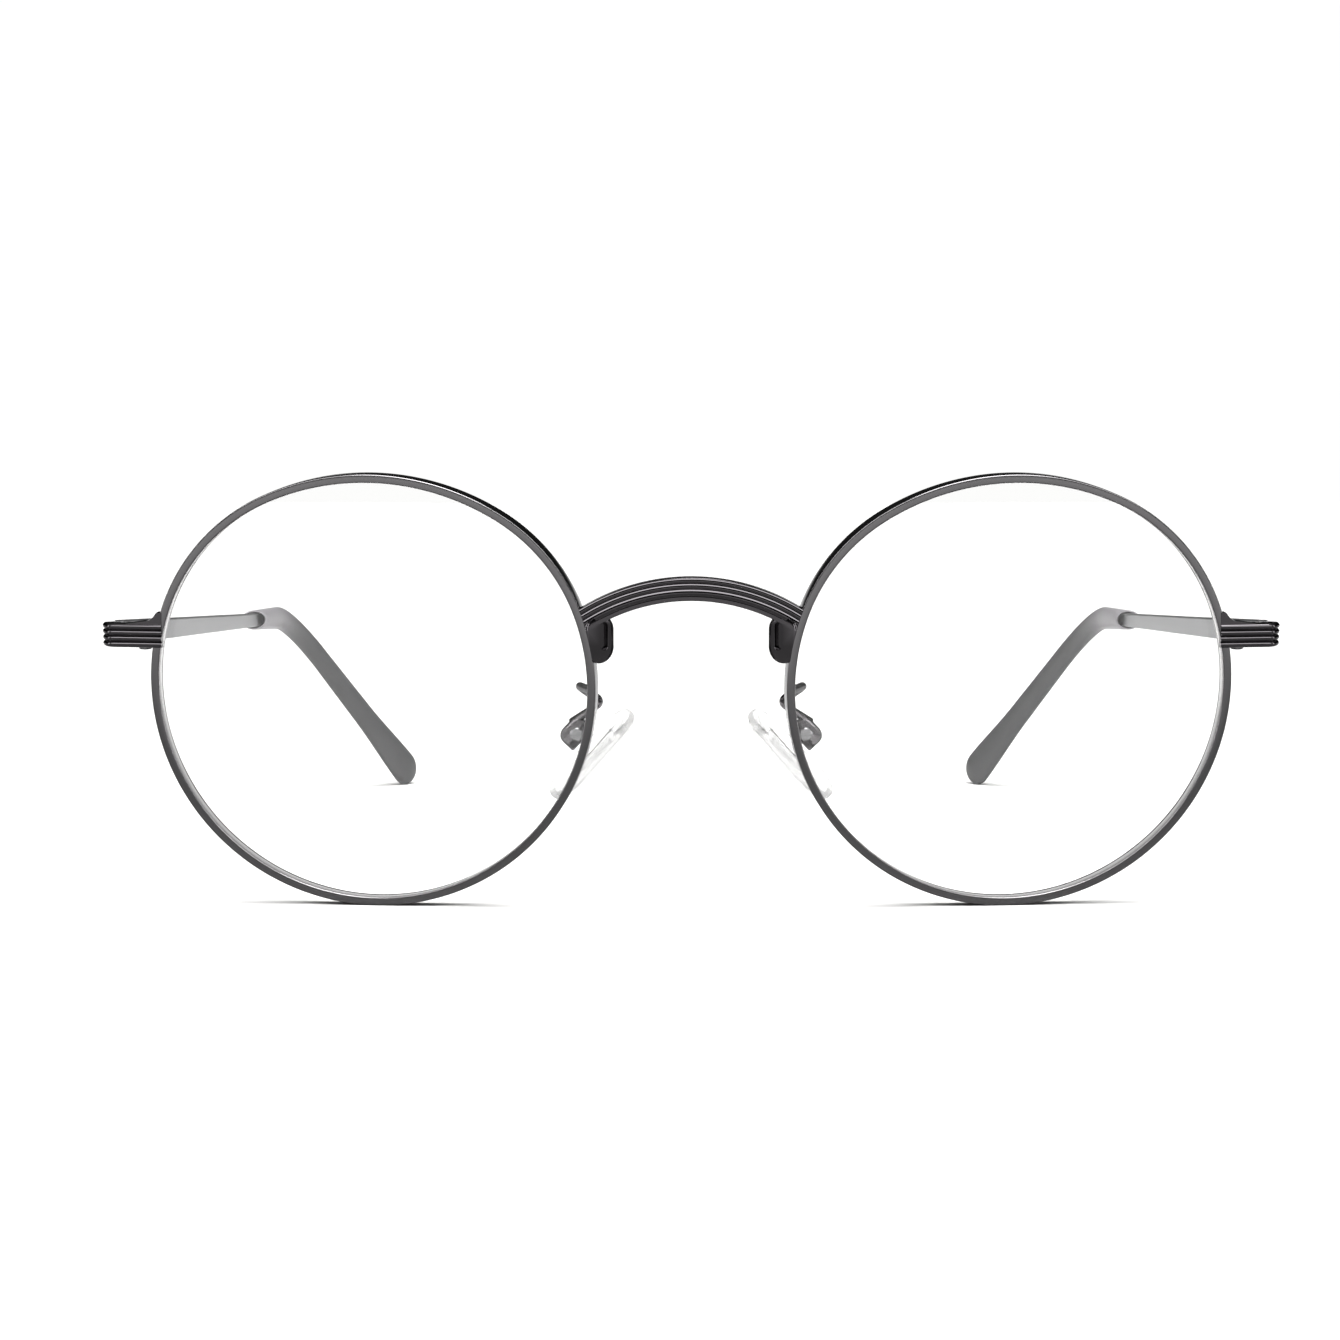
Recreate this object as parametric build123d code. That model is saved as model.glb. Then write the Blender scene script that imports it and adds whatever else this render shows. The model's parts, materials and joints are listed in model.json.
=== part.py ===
from build123d import *
import os
from math import asin, atan2, cos, degrees, radians, sin, sqrt, tan

# Round wire eyeglasses, standing open on a surface: on the bottom of both rims and on the ends of
# both temples.  +X is the wearer's left, +Y points back along the temples, +Z is up.  Each piece is
# modelled once, on the wearer's left, and mirrored for the right.  All lengths are in millimetres.

# ---------------------------------------------------------------- whole frame
FRAME_WIDTH = 140.0          # across the outer faces of the two endpieces
LEAN = 6.0                   # degrees that the front leans forward at the top
FACE_FORM = 5.5              # degrees that each rim is turned back at the temple side
BRIDGE_GAP = 22.4            # between the two rims at their nearest

# ---------------------------------------------------------------- rim and lens
EYE_RADIUS = 25.6            # inner radius of the rim's lower, circular part
CROWN_SHAPE = 1.145          # radius of the flatter top, per unit of the lower radius
NOSE_CORNER_SHAPE = 0.844    # radius of the upper corner beside the nose, likewise
TEMPLE_CORNER_SHAPE = 0.875  # radius of the upper corner beside the temple, likewise
NOSE_CORNER_FROM = 161.0     # degrees round the rim where the nose corner starts
TEMPLE_CORNER_FROM = 19.0    # degrees round the rim where the temple corner starts
RIM_WALL = 1.0
RIM_DEPTH = 2.8
RIM_BEVEL = 0.12
GROOVE_DEPTH = 0.42
GROOVE_WIDTH = 1.1
RIM_SPLIT = 0.12             # saw cut that the closing screw pulls together
LENS_CLEARANCE = 0.03
LENS_CURVE = 190.0           # radius of the lens's front surface
LENS_THICKNESS = 1.8

# ---------------------------------------------------------------- bridge
BRIDGE_ARCH = 23.3           # radius of the arch's middle line
BRIDGE_HEIGHT = 11.9         # of the arch's crown above the lens centres, along the front
BRIDGE_RIBS = (0.66, 0.70, 0.78)
BRIDGE_STRIP = 0.60          # height of the plain strip under the ribs
BRIDGE_DEPTH = 2.0
RIB_BULGE = 0.16
STRIP_RECESS = 0.18
STRIP_GROOVE = 0.1           # width of the shadow groove between the ribs and the strip
BRIDGE_ROUND = 0.35          # radius along the two back edges
TAB_HEIGHT = 5.8
TAB_WIDTH = 3.8
TAB_BITE = 0.9               # the part of its width that the rim's side wall cuts away
TAB_THICKNESS = 0.8
TAB_TURN = 36.0              # degrees that a tab faces in towards the nose
TAB_DROP = 5.9               # from the arch's crown down to a tab's middle
TAB_SLOT_WIDTH = 1.0
TAB_SLOT_HEIGHT = 3.2
TAB_SLOT_DEPTH = 0.45
TAB_SLOT_SHIFT = 0.45        # from the tab's middle line towards the nose
TAB_SLOT_RISE = 0.3          # and up
BEAD_RADIUS = 0.75           # brazing bead where the bridge meets the rim
BEAD_DROP = 3.6              # from the arch's crown down to the bead

# ---------------------------------------------------------------- endpiece
ENDPIECE_LIFT = 5.63         # middle of the endpiece above the lens centre, along the front
ENDPIECE_RIBS = 4
ENDPIECE_PITCH = 0.70
ENDPIECE_THICKNESS = 1.4
ENDPIECE_BULGE = 0.28
ENDPIECE_PROUD = 0.30        # its front face stands before the rim's face
ENDPIECE_OVERLAP = 0.95      # it laps over the rim's face
CORNER_RADIUS = 1.9          # outer radius of the endpiece's corner
SIDE_LEG = 5.0               # from the corner back to the hinge
WEB_LENGTH = 3.8             # brazing web on top, out from the rim
WEB_HEIGHT = 1.4
WEB_KNEE = (1.5, 0.36)       # out from the rim and up, where its hollow meets its long slope
WEB_HOLLOW = (0.5, 0.7)      # likewise, a point in the hollow
WEB_DEPTH = 1.2
ELBOW = 0.3                  # straight stretch each side of the mitre in the side leg

# ---------------------------------------------------------------- closing block of the rim
LOCK_SPLIT_LIFT = 5.05       # the saw cut above the lens centre
LOCK_RADIUS = 0.95
LOCK_OFFSET = 1.6            # screw axis outside the rim's wall
LOCK_FOOT = 0.7              # half the foot's depth, within the rim's
LOCK_UPPER = 1.6
LOCK_LOWER = 0.75
LOCK_SCREW_RADIUS = 0.5
LOCK_HEAD_RADIUS = 0.8
LOCK_HEAD = 0.4
LOCK_SEAT = 0.05             # between the barrel and the endpiece's inner face
LOCK_CLEARANCE = 0.02        # radial, screw in block

# ---------------------------------------------------------------- hinge
KNUCKLE_RADIUS = 1.05
KNUCKLE_INSET = 1.15         # hinge axis inside the temple's inner face
HINGE_HEIGHT = 2.4
HINGE_GAP = 0.05             # between neighbouring knuckles
HINGE_SCREW_RADIUS = 0.6
HINGE_HEAD_RADIUS = 0.85
HINGE_HEAD = 0.3
HINGE_SINK = 0.25            # the head is let into the top knuckle
HINGE_CLEARANCE = 0.02       # radial, screw in knuckles
LEAF_LENGTH = 3.2
LEAF_THICKNESS = 0.65
LEAF_START = 1.35            # from the hinge axis to the leaf
LEAF_OVERLAP = 0.1
KNUCKLE_ARM = 0.3            # the knuckle's arm reaches this far past its axis
BUTT_GAP = 0.04
SCREW_SLOT = 0.25

# ---------------------------------------------------------------- temple and its tip
TEMPLE_SLOPE = 1.9           # degrees that the temple falls towards the back
TEMPLE_TOE = 2.05            # degrees that it turns in towards the head
TEMPLE_THICKNESS = 1.25
TEMPLE_FRONT_HEIGHT = 2.95
TEMPLE_BACK_HEIGHT = 1.95
TEMPLE_EDGE = 0.3
TEMPLE_TO_TIP = 84.0         # from the hinge to the mouth of the tip
TIP_TO_BEND = 18.0           # from the mouth to the start of the bend
BEND_RADIUS = 16.0
TIP_DROP = 24.5              # straight part of the tip after the bend
TIP_TURN_IN = 50.0           # degrees that the drop heads in towards the head, seen from above
TIP_THICKNESS = 2.6
MOUTH_THICKNESS = 3.5        # of the tip at its mouth
TIP_HEIGHTS = (2.95, 3.5, 4.2, 6.2)   # at the mouth, round the bend, halfway down, at the end
TIP_CAP = 2.6                # length of the rounded end
CORE_RADIUS = 0.6
CORE_SHORT = 6.0             # the core wire stops this far before the rounded end
ARM_IN_TIP = 5.0
TIP_CLEARANCE = 0.03
MOUTH_SLANT = 32.0           # degrees

# ---------------------------------------------------------------- nose pads
PAD_SPREAD = 12.0            # from the middle of the frame to a pad's middle
PAD_DROP = 8.8               # the pad's middle below the lens centre
PAD_BACK = 9.0               # behind the lens centre
PAD_ANGLE = 43.5             # degrees that the pad's outward face looks up
PAD_SPLAY = 12.0             # degrees that the pads open towards the face
PAD_LENGTH = 14.0
PAD_WIDTH = 7.4
PAD_TOP_SHARE = 0.74         # the top end's width per unit of the bottom end's
PAD_THICKNESS = 1.9
PAD_ROUND = 0.8
PAD_ROCK = 10.0              # degrees either way
INSERT_LENGTH = 6.4
INSERT_WIDTH = 3.4
INSERT_THICKNESS = 0.7
LUG_THICKNESS = 1.1
LUG_RADIUS = 0.95
PIVOT_OUT = 3.1              # pad screw's axis out from the pad's middle plane
PIVOT_UP = 0.6               # and up along the pad
BOX_LENGTH = 3.7
BOX_OUT = 1.65               # from the screw's axis to the closed side
BOX_IN = 1.1                 # and to the open side
BOX_WALL = 0.6
BOX_CLEARANCE = 0.08
BOX_ROUND = 0.45
BOX_CROWN = 1.15             # radius across its closed side
PAD_SCREW_RADIUS = 0.45
PAD_HEAD_RADIUS = 0.8
PAD_HEAD = 0.3
PAD_SCREW_CLEARANCE = 0.02   # radial
NECK_WIDTH = 1.2             # from the insert's plate up to its lug
ARM_RADIUS = 0.5
ARM_BEND = 1.2
ARM_FOOT = 181.0             # degrees round the rim where the pad arm starts
ARM_LOOP = (2.1, 3.8, 0.5)   # from its foot to the first bend: out, back and up
ARM_DIP = (-2.95, 2.5, -2.3) # and on to the second bend
ARM_SEAT = 0.6               # it meets the box this far above the screw


# ================================================================ directions and places
lean, form = radians(LEAN), radians(FACE_FORM)
slope, toe = radians(TEMPLE_SLOPE), radians(TEMPLE_TOE)
ACROSS = Vector(1, 0, 0)
UP_FRONT = Vector(0, -sin(lean), cos(lean))
OUT_FRONT = Vector(0, -cos(lean), -sin(lean))
RIM_ALONG = ACROSS * cos(form) - OUT_FRONT * sin(form)
RIM_OUT = OUT_FRONT * cos(form) + ACROSS * sin(form)

outer_radius = EYE_RADIUS + RIM_WALL
# the rims stand on the lower edge of their front bevel
bevel_rise = RIM_BEVEL * cos(form) * sin(lean)
lens_height = outer_radius * sqrt(cos(lean) ** 2 + (sin(form) * sin(lean)) ** 2) - bevel_rise
lens_centre = Vector(BRIDGE_GAP / 2 + outer_radius * cos(form), 0, lens_height)
rim_plane = Plane(origin=lens_centre, x_dir=RIM_ALONG, z_dir=RIM_OUT)
# the bridge lies as far forward as the nose sides of the two turned rims
bridge_forward = outer_radius * sin(form)
bridge_origin = Vector(0, 0, lens_height) + OUT_FRONT * bridge_forward
bridge_plane = Plane(origin=bridge_origin, x_dir=ACROSS, z_dir=OUT_FRONT)

endpiece_height = ENDPIECE_RIBS * ENDPIECE_PITCH
corner_depth = ENDPIECE_PROUD - CORNER_RADIUS
corner_along = (
    (FRAME_WIDTH / 2 - CORNER_RADIUS - lens_centre.X - corner_depth * sin(form)) / cos(form)
)
corner_centre = rim_plane.from_local_coords(Vector(corner_along, ENDPIECE_LIFT, corner_depth))

BACK = Vector(0, cos(slope), -sin(slope))
HINGE_UP = Vector(0, sin(slope), cos(slope))
side_elbow = corner_centre - OUT_FRONT * ELBOW
hinge_centre = side_elbow + BACK * SIDE_LEG
hinge_centre = Vector(
    FRAME_WIDTH / 2 - ENDPIECE_THICKNESS - KNUCKLE_INSET, hinge_centre.Y, hinge_centre.Z
)
# local x out, local y back along the side of the frame, local z up the hinge screw
hinge_plane = Plane(origin=hinge_centre, x_dir=ACROSS, z_dir=HINGE_UP)
butt_plane = Plane(origin=hinge_centre, x_dir=ACROSS, z_dir=BACK)
# local x in towards the head, local y up the arm's height, local z along the arm
arm_plane = Plane(
    origin=hinge_centre + ACROSS * (KNUCKLE_INSET + TEMPLE_THICKNESS / 2),
    x_dir=-ACROSS * cos(toe) - BACK * sin(toe),
    z_dir=BACK * cos(toe) - ACROSS * sin(toe),
)

pad_out = Vector(cos(radians(PAD_ANGLE)), 0, sin(radians(PAD_ANGLE)))
pad_up = Vector(-sin(radians(PAD_ANGLE)), 0, cos(radians(PAD_ANGLE)))
pad_middle = Vector(PAD_SPREAD, PAD_BACK, lens_height - PAD_DROP)
pad_pivot = pad_middle + pad_out * PIVOT_OUT + pad_up * PIVOT_UP
# local x along the pad, local y to the back, local z out from the nose
box_plane = Plane(origin=pad_pivot, x_dir=-pad_up, z_dir=pad_out)
splay = radians(PAD_SPLAY)
pad_face = pad_out * cos(splay) - Vector(0, 1, 0) * sin(splay)
pad_plane = Plane(origin=pad_middle, x_dir=-pad_up, z_dir=pad_face)
box_half = LUG_THICKNESS / 2 + BOX_CLEARANCE + BOX_WALL


# ================================================================ helpers
def box_between(low, high):
    """A box given by its two opposite corners in local coordinates."""
    size = [b - a for a, b in zip(low, high)]
    middle = [(a + b) / 2 for a, b in zip(low, high)]
    return Pos(*middle) * Box(*size)


def rod(radius, start, end):
    """A round rod along local z between two heights."""
    return Pos(0, 0, (start + end) / 2) * Cylinder(radius, end - start)


def beyond(plane, reach=60.0):
    """A large block on the side of a plane that its normal points to."""
    return plane.location * Pos(0, 0, reach / 2) * Box(reach, reach, reach)


def unit(angle):
    """The direction at an angle in degrees, in the rim's plane."""
    return Vector(cos(radians(angle)), sin(radians(angle)), 0)


# ================================================================ rim outline
def rim_arcs():
    """The four tangent arcs of the rim's inner edge: centre, radius, start and end angle."""
    crown = EYE_RADIUS * CROWN_SHAPE
    nose = EYE_RADIUS * NOSE_CORNER_SHAPE
    temple = EYE_RADIUS * TEMPLE_CORNER_SHAPE
    nose_centre = unit(NOSE_CORNER_FROM) * (EYE_RADIUS - nose)
    temple_centre = unit(TEMPLE_CORNER_FROM) * (EYE_RADIUS - temple)
    # the crown's centre lies at known distances from the two corner centres, and below them
    to_nose, to_temple = crown - nose, crown - temple
    between = temple_centre - nose_centre
    along = (to_nose ** 2 - to_temple ** 2 + between.length ** 2) / (2 * between.length)
    down = sqrt(to_nose ** 2 - along ** 2)
    step = between.normalized()
    crown_centre = nose_centre + step * along + Vector(step.Y, -step.X, 0) * down
    to_nose_corner = nose_centre - crown_centre
    to_temple_corner = temple_centre - crown_centre
    nose_to = degrees(atan2(to_nose_corner.Y, to_nose_corner.X))
    temple_to = degrees(atan2(to_temple_corner.Y, to_temple_corner.X))
    return [
        (Vector(0, 0, 0), EYE_RADIUS, NOSE_CORNER_FROM, TEMPLE_CORNER_FROM + 360),
        (temple_centre, temple, TEMPLE_CORNER_FROM, temple_to),
        (crown_centre, crown, temple_to, nose_to),
        (nose_centre, nose, nose_to, NOSE_CORNER_FROM),
    ]


def around_rim(points):
    """Turn a closed section round the rim; each point is (out from the inner edge, forward)."""
    pieces = []
    for centre, radius, start, end in rim_arcs():
        out = unit(start)
        section_plane = Plane(origin=centre, x_dir=out, z_dir=Vector(out.Y, -out.X, 0))
        corners = [(radius + across, forward) for across, forward in points]
        section = section_plane * make_face(Polyline(*corners, close=True))
        pieces.append(revolve(section, axis=Axis(centre, (0, 0, 1)), revolution_arc=end - start))
    whole = pieces[0]
    for piece in pieces[1:]:
        whole += piece
    return whole


def outline_face(offset):
    """The flat area inside the rim's outline, grown by an offset from its inner edge."""
    edges = []
    for centre, radius, start, end in rim_arcs():
        size = radius + offset
        middle = (start + end) / 2
        edges.append(
            ThreePointArc(
                centre + unit(start) * size, centre + unit(middle) * size, centre + unit(end) * size
            )
        )
    return make_face(edges)


def rim_reach(lift, offset):
    """How far the temple side of the outline reaches out at a height above the lens centre."""
    best = 0.0
    for centre, radius, start, end in rim_arcs():
        size = radius + offset
        rise = lift - centre.Y
        if abs(rise) < size:
            angle = degrees(asin(rise / size))
            if start - 360 <= angle <= end - 360 or start <= angle <= end:
                best = max(best, centre.X + sqrt(size ** 2 - rise ** 2))
    return best


def rim_block(depth=RIM_DEPTH):
    """A block of the rim's whole outline behind its face, to cut the pieces brazed onto it."""
    return rim_plane.location * Pos(0, 0, -depth) * extrude(outline_face(RIM_WALL), depth)


def make_rim():
    """A flat-faced eyewire with a V groove inside, sawn through at the closing block."""
    middle = -RIM_DEPTH / 2
    section = [
        (RIM_BEVEL, 0),
        (RIM_WALL - RIM_BEVEL, 0),
        (RIM_WALL, -RIM_BEVEL),
        (RIM_WALL, -RIM_DEPTH + RIM_BEVEL),
        (RIM_WALL - RIM_BEVEL, -RIM_DEPTH),
        (RIM_BEVEL, -RIM_DEPTH),
        (0, -RIM_DEPTH + RIM_BEVEL),
        (0, middle - GROOVE_WIDTH / 2),
        (GROOVE_DEPTH, middle),
        (0, middle + GROOVE_WIDTH / 2),
        (0, -RIM_BEVEL),
    ]
    rim = around_rim(section)
    reach = rim_reach(LOCK_SPLIT_LIFT, 0)
    cut = box_between(
        (reach - RIM_WALL, LOCK_SPLIT_LIFT - RIM_SPLIT / 2, -RIM_DEPTH - 1),
        (reach + 2 * RIM_WALL, LOCK_SPLIT_LIFT + RIM_SPLIT / 2, 1),
    )
    return rim_plane.location * (rim - cut)


def make_lens():
    """A clear meniscus with a V edge that sits in the rim's groove."""
    middle = -RIM_DEPTH / 2
    edge = -LENS_CLEARANCE
    flat = outline_face(edge)
    reach = EYE_RADIUS
    slab = Pos(0, 0, middle - 3 * LENS_THICKNESS) * extrude(flat, 6 * LENS_THICKNESS)
    fall = LENS_CURVE - sqrt(LENS_CURVE ** 2 - reach ** 2)
    front_top = middle + LENS_THICKNESS / 2 + fall
    front_ball = Pos(0, 0, front_top - LENS_CURVE) * Sphere(LENS_CURVE)
    back_ball = Pos(0, 0, front_top - LENS_THICKNESS - LENS_CURVE) * Sphere(LENS_CURVE)
    lens = (slab & front_ball) - back_ball
    half = GROOVE_WIDTH / 2 * (1 - LENS_CLEARANCE / GROOVE_DEPTH)
    bevel = around_rim(
        [
            (edge - 0.6, middle - half),
            (edge, middle - half),
            (GROOVE_DEPTH - 2 * LENS_CLEARANCE, middle),
            (edge, middle + half),
            (edge - 0.6, middle + half),
        ]
    )
    return rim_plane.location * (lens + bevel)


# ================================================================ bridge
def ribbed_side(base, low, heights, bulge):
    """Edges of a row of rounded ribs, up the line at `base`, from a lowest point."""
    edges, at = [], low
    for height in heights:
        start, end = (base, at), (base, at + height)
        edges.append(ThreePointArc(start, (base + bulge, at + height / 2), end))
        at += height
    return edges, at


def bridge_section():
    """Across the bridge: local x forward, local y up, with the middle line at zero height."""
    total = BRIDGE_STRIP + sum(BRIDGE_RIBS)
    low = -total / 2
    edge = low + BRIDGE_STRIP
    ribs, top = ribbed_side(0, edge, reversed(BRIDGE_RIBS), RIB_BULGE)
    back = -BRIDGE_DEPTH
    inset = BRIDGE_ROUND * (1 - sqrt(0.5))
    outline = [
        Line((0, edge), (-STRIP_RECESS * 2, edge)),
        Line((-STRIP_RECESS * 2, edge), (-STRIP_RECESS * 2, edge - STRIP_GROOVE)),
        Line((-STRIP_RECESS * 2, edge - STRIP_GROOVE), (-STRIP_RECESS, edge - STRIP_GROOVE)),
        Line((-STRIP_RECESS, edge - STRIP_GROOVE), (-STRIP_RECESS, low)),
        Line((-STRIP_RECESS, low), (back + BRIDGE_ROUND, low)),
        ThreePointArc(
            (back + BRIDGE_ROUND, low),
            (back + inset, low + inset),
            (back, low + BRIDGE_ROUND),
        ),
        Line((back, low + BRIDGE_ROUND), (back, top - BRIDGE_ROUND)),
        ThreePointArc(
            (back, top - BRIDGE_ROUND),
            (back + inset, top - inset),
            (back + BRIDGE_ROUND, top),
        ),
        Line((back + BRIDGE_ROUND, top), (0, top)),
    ]
    return make_face(outline + ribs)


def make_bridge():
    """An arched, ribbed bar, with a tab hanging beside each rim."""
    arch_centre = Vector(0, BRIDGE_HEIGHT - BRIDGE_ARCH, 0)
    half_span = lens_centre.X - EYE_RADIUS * NOSE_CORNER_SHAPE
    half_angle = degrees(asin(min(0.9, half_span / BRIDGE_ARCH)))
    start = 90 - half_angle
    radial = unit(start)
    # section: local x forward, local y outward along the arch's radius
    plane = Plane(
        origin=arch_centre + radial * BRIDGE_ARCH, x_dir=(0, 0, 1), z_dir=Vector(-radial.Y, radial.X, 0)
    )
    bar = revolve(
        plane * bridge_section(), axis=Axis(arch_centre, (0, 0, 1)), revolution_arc=2 * half_angle
    )
    lift = BRIDGE_HEIGHT - TAB_DROP
    # the tabs stand against the back part of the rims' nose sides
    side = lens_centre.X - rim_side(lift) * cos(form) - RIM_DEPTH * sin(form)
    tab_plane = Plane(
        origin=(side + TAB_BITE - TAB_WIDTH / 2 * cos(radians(TAB_TURN)), lift, -BRIDGE_DEPTH / 2),
        x_dir=(cos(radians(TAB_TURN)), 0, sin(radians(TAB_TURN))),
        z_dir=(-sin(radians(TAB_TURN)), 0, cos(radians(TAB_TURN))),
    )
    for mirrored in (False, True):
        tab = extrude(SlotOverall(TAB_HEIGHT, TAB_WIDTH, rotation=90), TAB_THICKNESS)
        slot = extrude(SlotOverall(TAB_SLOT_HEIGHT, TAB_SLOT_WIDTH, rotation=90), TAB_SLOT_DEPTH)
        tab -= Pos(-TAB_SLOT_SHIFT, TAB_SLOT_RISE, TAB_THICKNESS - TAB_SLOT_DEPTH) * slot
        tab = tab_plane.location * tab
        bar += mirror(tab, about=Plane.YZ) if mirrored else tab
    return trim_to_rims(bridge_plane.location * bar + make_beads())


def rim_side(lift):
    """How far the nose side of the rim's outer wall lies from the lens centre at a height."""
    best = 0.0
    for centre, radius, start, end in rim_arcs():
        size = radius + RIM_WALL
        rise = lift - centre.Y
        if abs(rise) < size:
            angle = 180 - degrees(asin(rise / size))
            if start <= angle <= end:
                best = max(best, sqrt(size ** 2 - rise ** 2) - centre.X)
    return best


def trim_to_rims(solid):
    """Cut away what would run into either rim or past its outline."""
    # the block reaches behind and before the rim
    keep_out = rim_block(3 * RIM_DEPTH) + rim_block(-3 * RIM_DEPTH)
    trimmed = solid - keep_out - mirror(keep_out, about=Plane.YZ)
    parts = sorted(trimmed.solids(), key=lambda piece: -piece.volume)
    return parts[0]


def make_beads():
    """The brazing beads where the arch's top meets each rim."""
    lift = BRIDGE_HEIGHT - BEAD_DROP
    side = Vector(-rim_side(lift), lift, -BRIDGE_DEPTH / 2)
    bead = Pos(*rim_plane.from_local_coords(side)) * Sphere(BEAD_RADIUS)
    return bead + mirror(bead, about=Plane.YZ)


rim_keep_out = rim_block()
lock_plane = Plane(
    origin=rim_plane.from_local_coords(
        Vector(
            rim_reach(LOCK_SPLIT_LIFT, RIM_WALL) + LOCK_OFFSET,
            LOCK_SPLIT_LIFT,
            ENDPIECE_PROUD - ENDPIECE_THICKNESS - LOCK_SEAT - LOCK_RADIUS,
        )
    ),
    x_dir=RIM_ALONG,
    z_dir=UP_FRONT,
)


# ================================================================ endpiece
def endpiece_section():
    """Across the endpiece: local x outward from its inner face, local y along its height."""
    half = endpiece_height / 2
    base = ENDPIECE_THICKNESS - ENDPIECE_BULGE
    ribs, _ = ribbed_side(base, -half, [ENDPIECE_PITCH] * ENDPIECE_RIBS, ENDPIECE_BULGE)
    sides = [
        Line((base, half), (0, half)),
        Line((0, half), (0, -half)),
        Line((0, -half), (base, -half)),
    ]
    return make_face(sides + ribs)


def make_web():
    """A small hollow-sided brazing wedge on top of the endpiece, against the rim."""
    low = ENDPIECE_LIFT + endpiece_height / 2
    base = low - ENDPIECE_PITCH
    foot = rim_reach(low, RIM_WALL)
    inside, end = foot - RIM_WALL, foot + WEB_LENGTH
    top = (foot - RIM_WALL / 4, low + WEB_HEIGHT)
    knee = (foot + WEB_KNEE[0], low + WEB_KNEE[1])
    hollow = (foot + WEB_HOLLOW[0], low + WEB_HOLLOW[1])
    outline = [
        Line((end, low), knee),
        ThreePointArc(knee, hollow, top),
        Line(top, (inside, low + WEB_HEIGHT)),
        Line((inside, low + WEB_HEIGHT), (inside, base)),
        Line((inside, base), (end, base)),
        Line((end, base), (end, low)),
    ]
    return Pos(0, 0, ENDPIECE_PROUD - ENDPIECE_THICKNESS) * extrude(make_face(outline), WEB_DEPTH)


def make_endpiece():
    """A ribbed bar from the rim's face round the corner to the hinge, with a brazing web."""
    section = endpiece_section()
    centre = Vector(corner_along, ENDPIECE_LIFT, corner_depth)
    inner = CORNER_RADIUS - ENDPIECE_THICKNESS
    leg = corner_along - rim_reach(ENDPIECE_LIFT, RIM_WALL) + ENDPIECE_OVERLAP
    front = Plane(origin=centre + Vector(0, 0, inner), x_dir=(0, 0, 1), z_dir=(-1, 0, 0))
    bar = extrude(front * section, leg)
    bar += revolve(front * section, axis=Axis(centre, (0, 1, 0)), revolution_arc=90 - FACE_FORM)
    bar = rim_plane.location * (bar + make_web())

    # the side leg follows the temple's slope, and meets the corner's end in a mitre
    elbow = side_elbow + ACROSS * inner
    mitre = Plane(origin=elbow, x_dir=ACROSS, z_dir=(BACK - OUT_FRONT).normalized())
    square = Plane(origin=elbow + OUT_FRONT * ELBOW, x_dir=ACROSS, z_dir=-OUT_FRONT)
    sloping = Plane(origin=elbow - BACK * ELBOW * 2, x_dir=ACROSS, z_dir=BACK)
    short = extrude(square * section, 2 * ELBOW) - beyond(mitre)
    side = (extrude(sloping * section, SIDE_LEG + 2 * ELBOW) & beyond(mitre)) - beyond(butt_plane)
    return (bar + short + side) - rim_keep_out


# ================================================================ closing block
def lock_block(low, high):
    """One half of the closing block: a barrel round the screw and a foot on the rim's wall."""
    foot = box_between((-LOCK_OFFSET - RIM_WALL, -LOCK_FOOT, low), (0, LOCK_FOOT, high))
    hole = rod(LOCK_SCREW_RADIUS + LOCK_CLEARANCE, low - 1, high + 1)
    return lock_plane.location * (rod(LOCK_RADIUS, low, high) + foot - hole) - rim_keep_out


def make_lock_screw():
    """A slotted screw that enters the closing block from below."""
    low = -RIM_SPLIT / 2 - LOCK_LOWER
    shank = rod(LOCK_SCREW_RADIUS, low, RIM_SPLIT / 2 + LOCK_UPPER)
    head = rod(LOCK_HEAD_RADIUS, low - LOCK_HEAD, low)
    slot = box_between(
        (-LOCK_RADIUS, -SCREW_SLOT / 2, low - LOCK_HEAD - 1),
        (LOCK_RADIUS, SCREW_SLOT / 2, low - LOCK_HEAD / 2),
    )
    return lock_plane.location * (shank + head - slot)


# ================================================================ hinge
def knuckle_levels():
    """The bottom and top of the three knuckles, from the lowest up."""
    height = (HINGE_HEIGHT - 2 * HINGE_GAP) / 3
    low = -HINGE_HEIGHT / 2
    return [(low + i * (height + HINGE_GAP), low + i * (height + HINGE_GAP) + height) for i in range(3)]


def knuckle(low, high, side):
    """A barrel with an arm to its leaf; side is -1 for the endpiece's half, 1 for the temple's."""
    reach = side * (LEAF_START + LEAF_OVERLAP)
    near = BUTT_GAP if side > 0 else 0
    arm = box_between(
        (-KNUCKLE_ARM, min(near, reach), low), (KNUCKLE_INSET, max(near, reach), high)
    )
    return rod(KNUCKLE_RADIUS, low, high) + arm


def leaf(side):
    """The plate brazed to the inner face of the endpiece or the temple."""
    start, end = side * LEAF_START, side * (LEAF_START + LEAF_LENGTH)
    return box_between(
        (KNUCKLE_INSET - LEAF_THICKNESS, min(start, end), -HINGE_HEIGHT / 2),
        (KNUCKLE_INSET, max(start, end), HINGE_HEIGHT / 2),
    )


def make_hinge_front():
    """The endpiece's hinge half: a leaf and the two outer knuckles."""
    low, _, high = knuckle_levels()
    half = leaf(-1) + knuckle(*low, -1) + knuckle(*high, -1)
    half -= rod(HINGE_SCREW_RADIUS + HINGE_CLEARANCE, -HINGE_HEIGHT, HINGE_HEIGHT)
    seat = HINGE_HEIGHT / 2 - HINGE_SINK
    half -= rod(HINGE_HEAD_RADIUS + HINGE_CLEARANCE, seat, HINGE_HEIGHT)
    return hinge_plane.location * half


def make_hinge_back(temple):
    """The temple's hinge half: a leaf and the middle knuckle."""
    _, middle, _ = knuckle_levels()
    half = leaf(1) + knuckle(*middle, 1)
    half -= rod(HINGE_SCREW_RADIUS + HINGE_CLEARANCE, -HINGE_HEIGHT, HINGE_HEIGHT)
    return hinge_plane.location * half - temple


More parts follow.
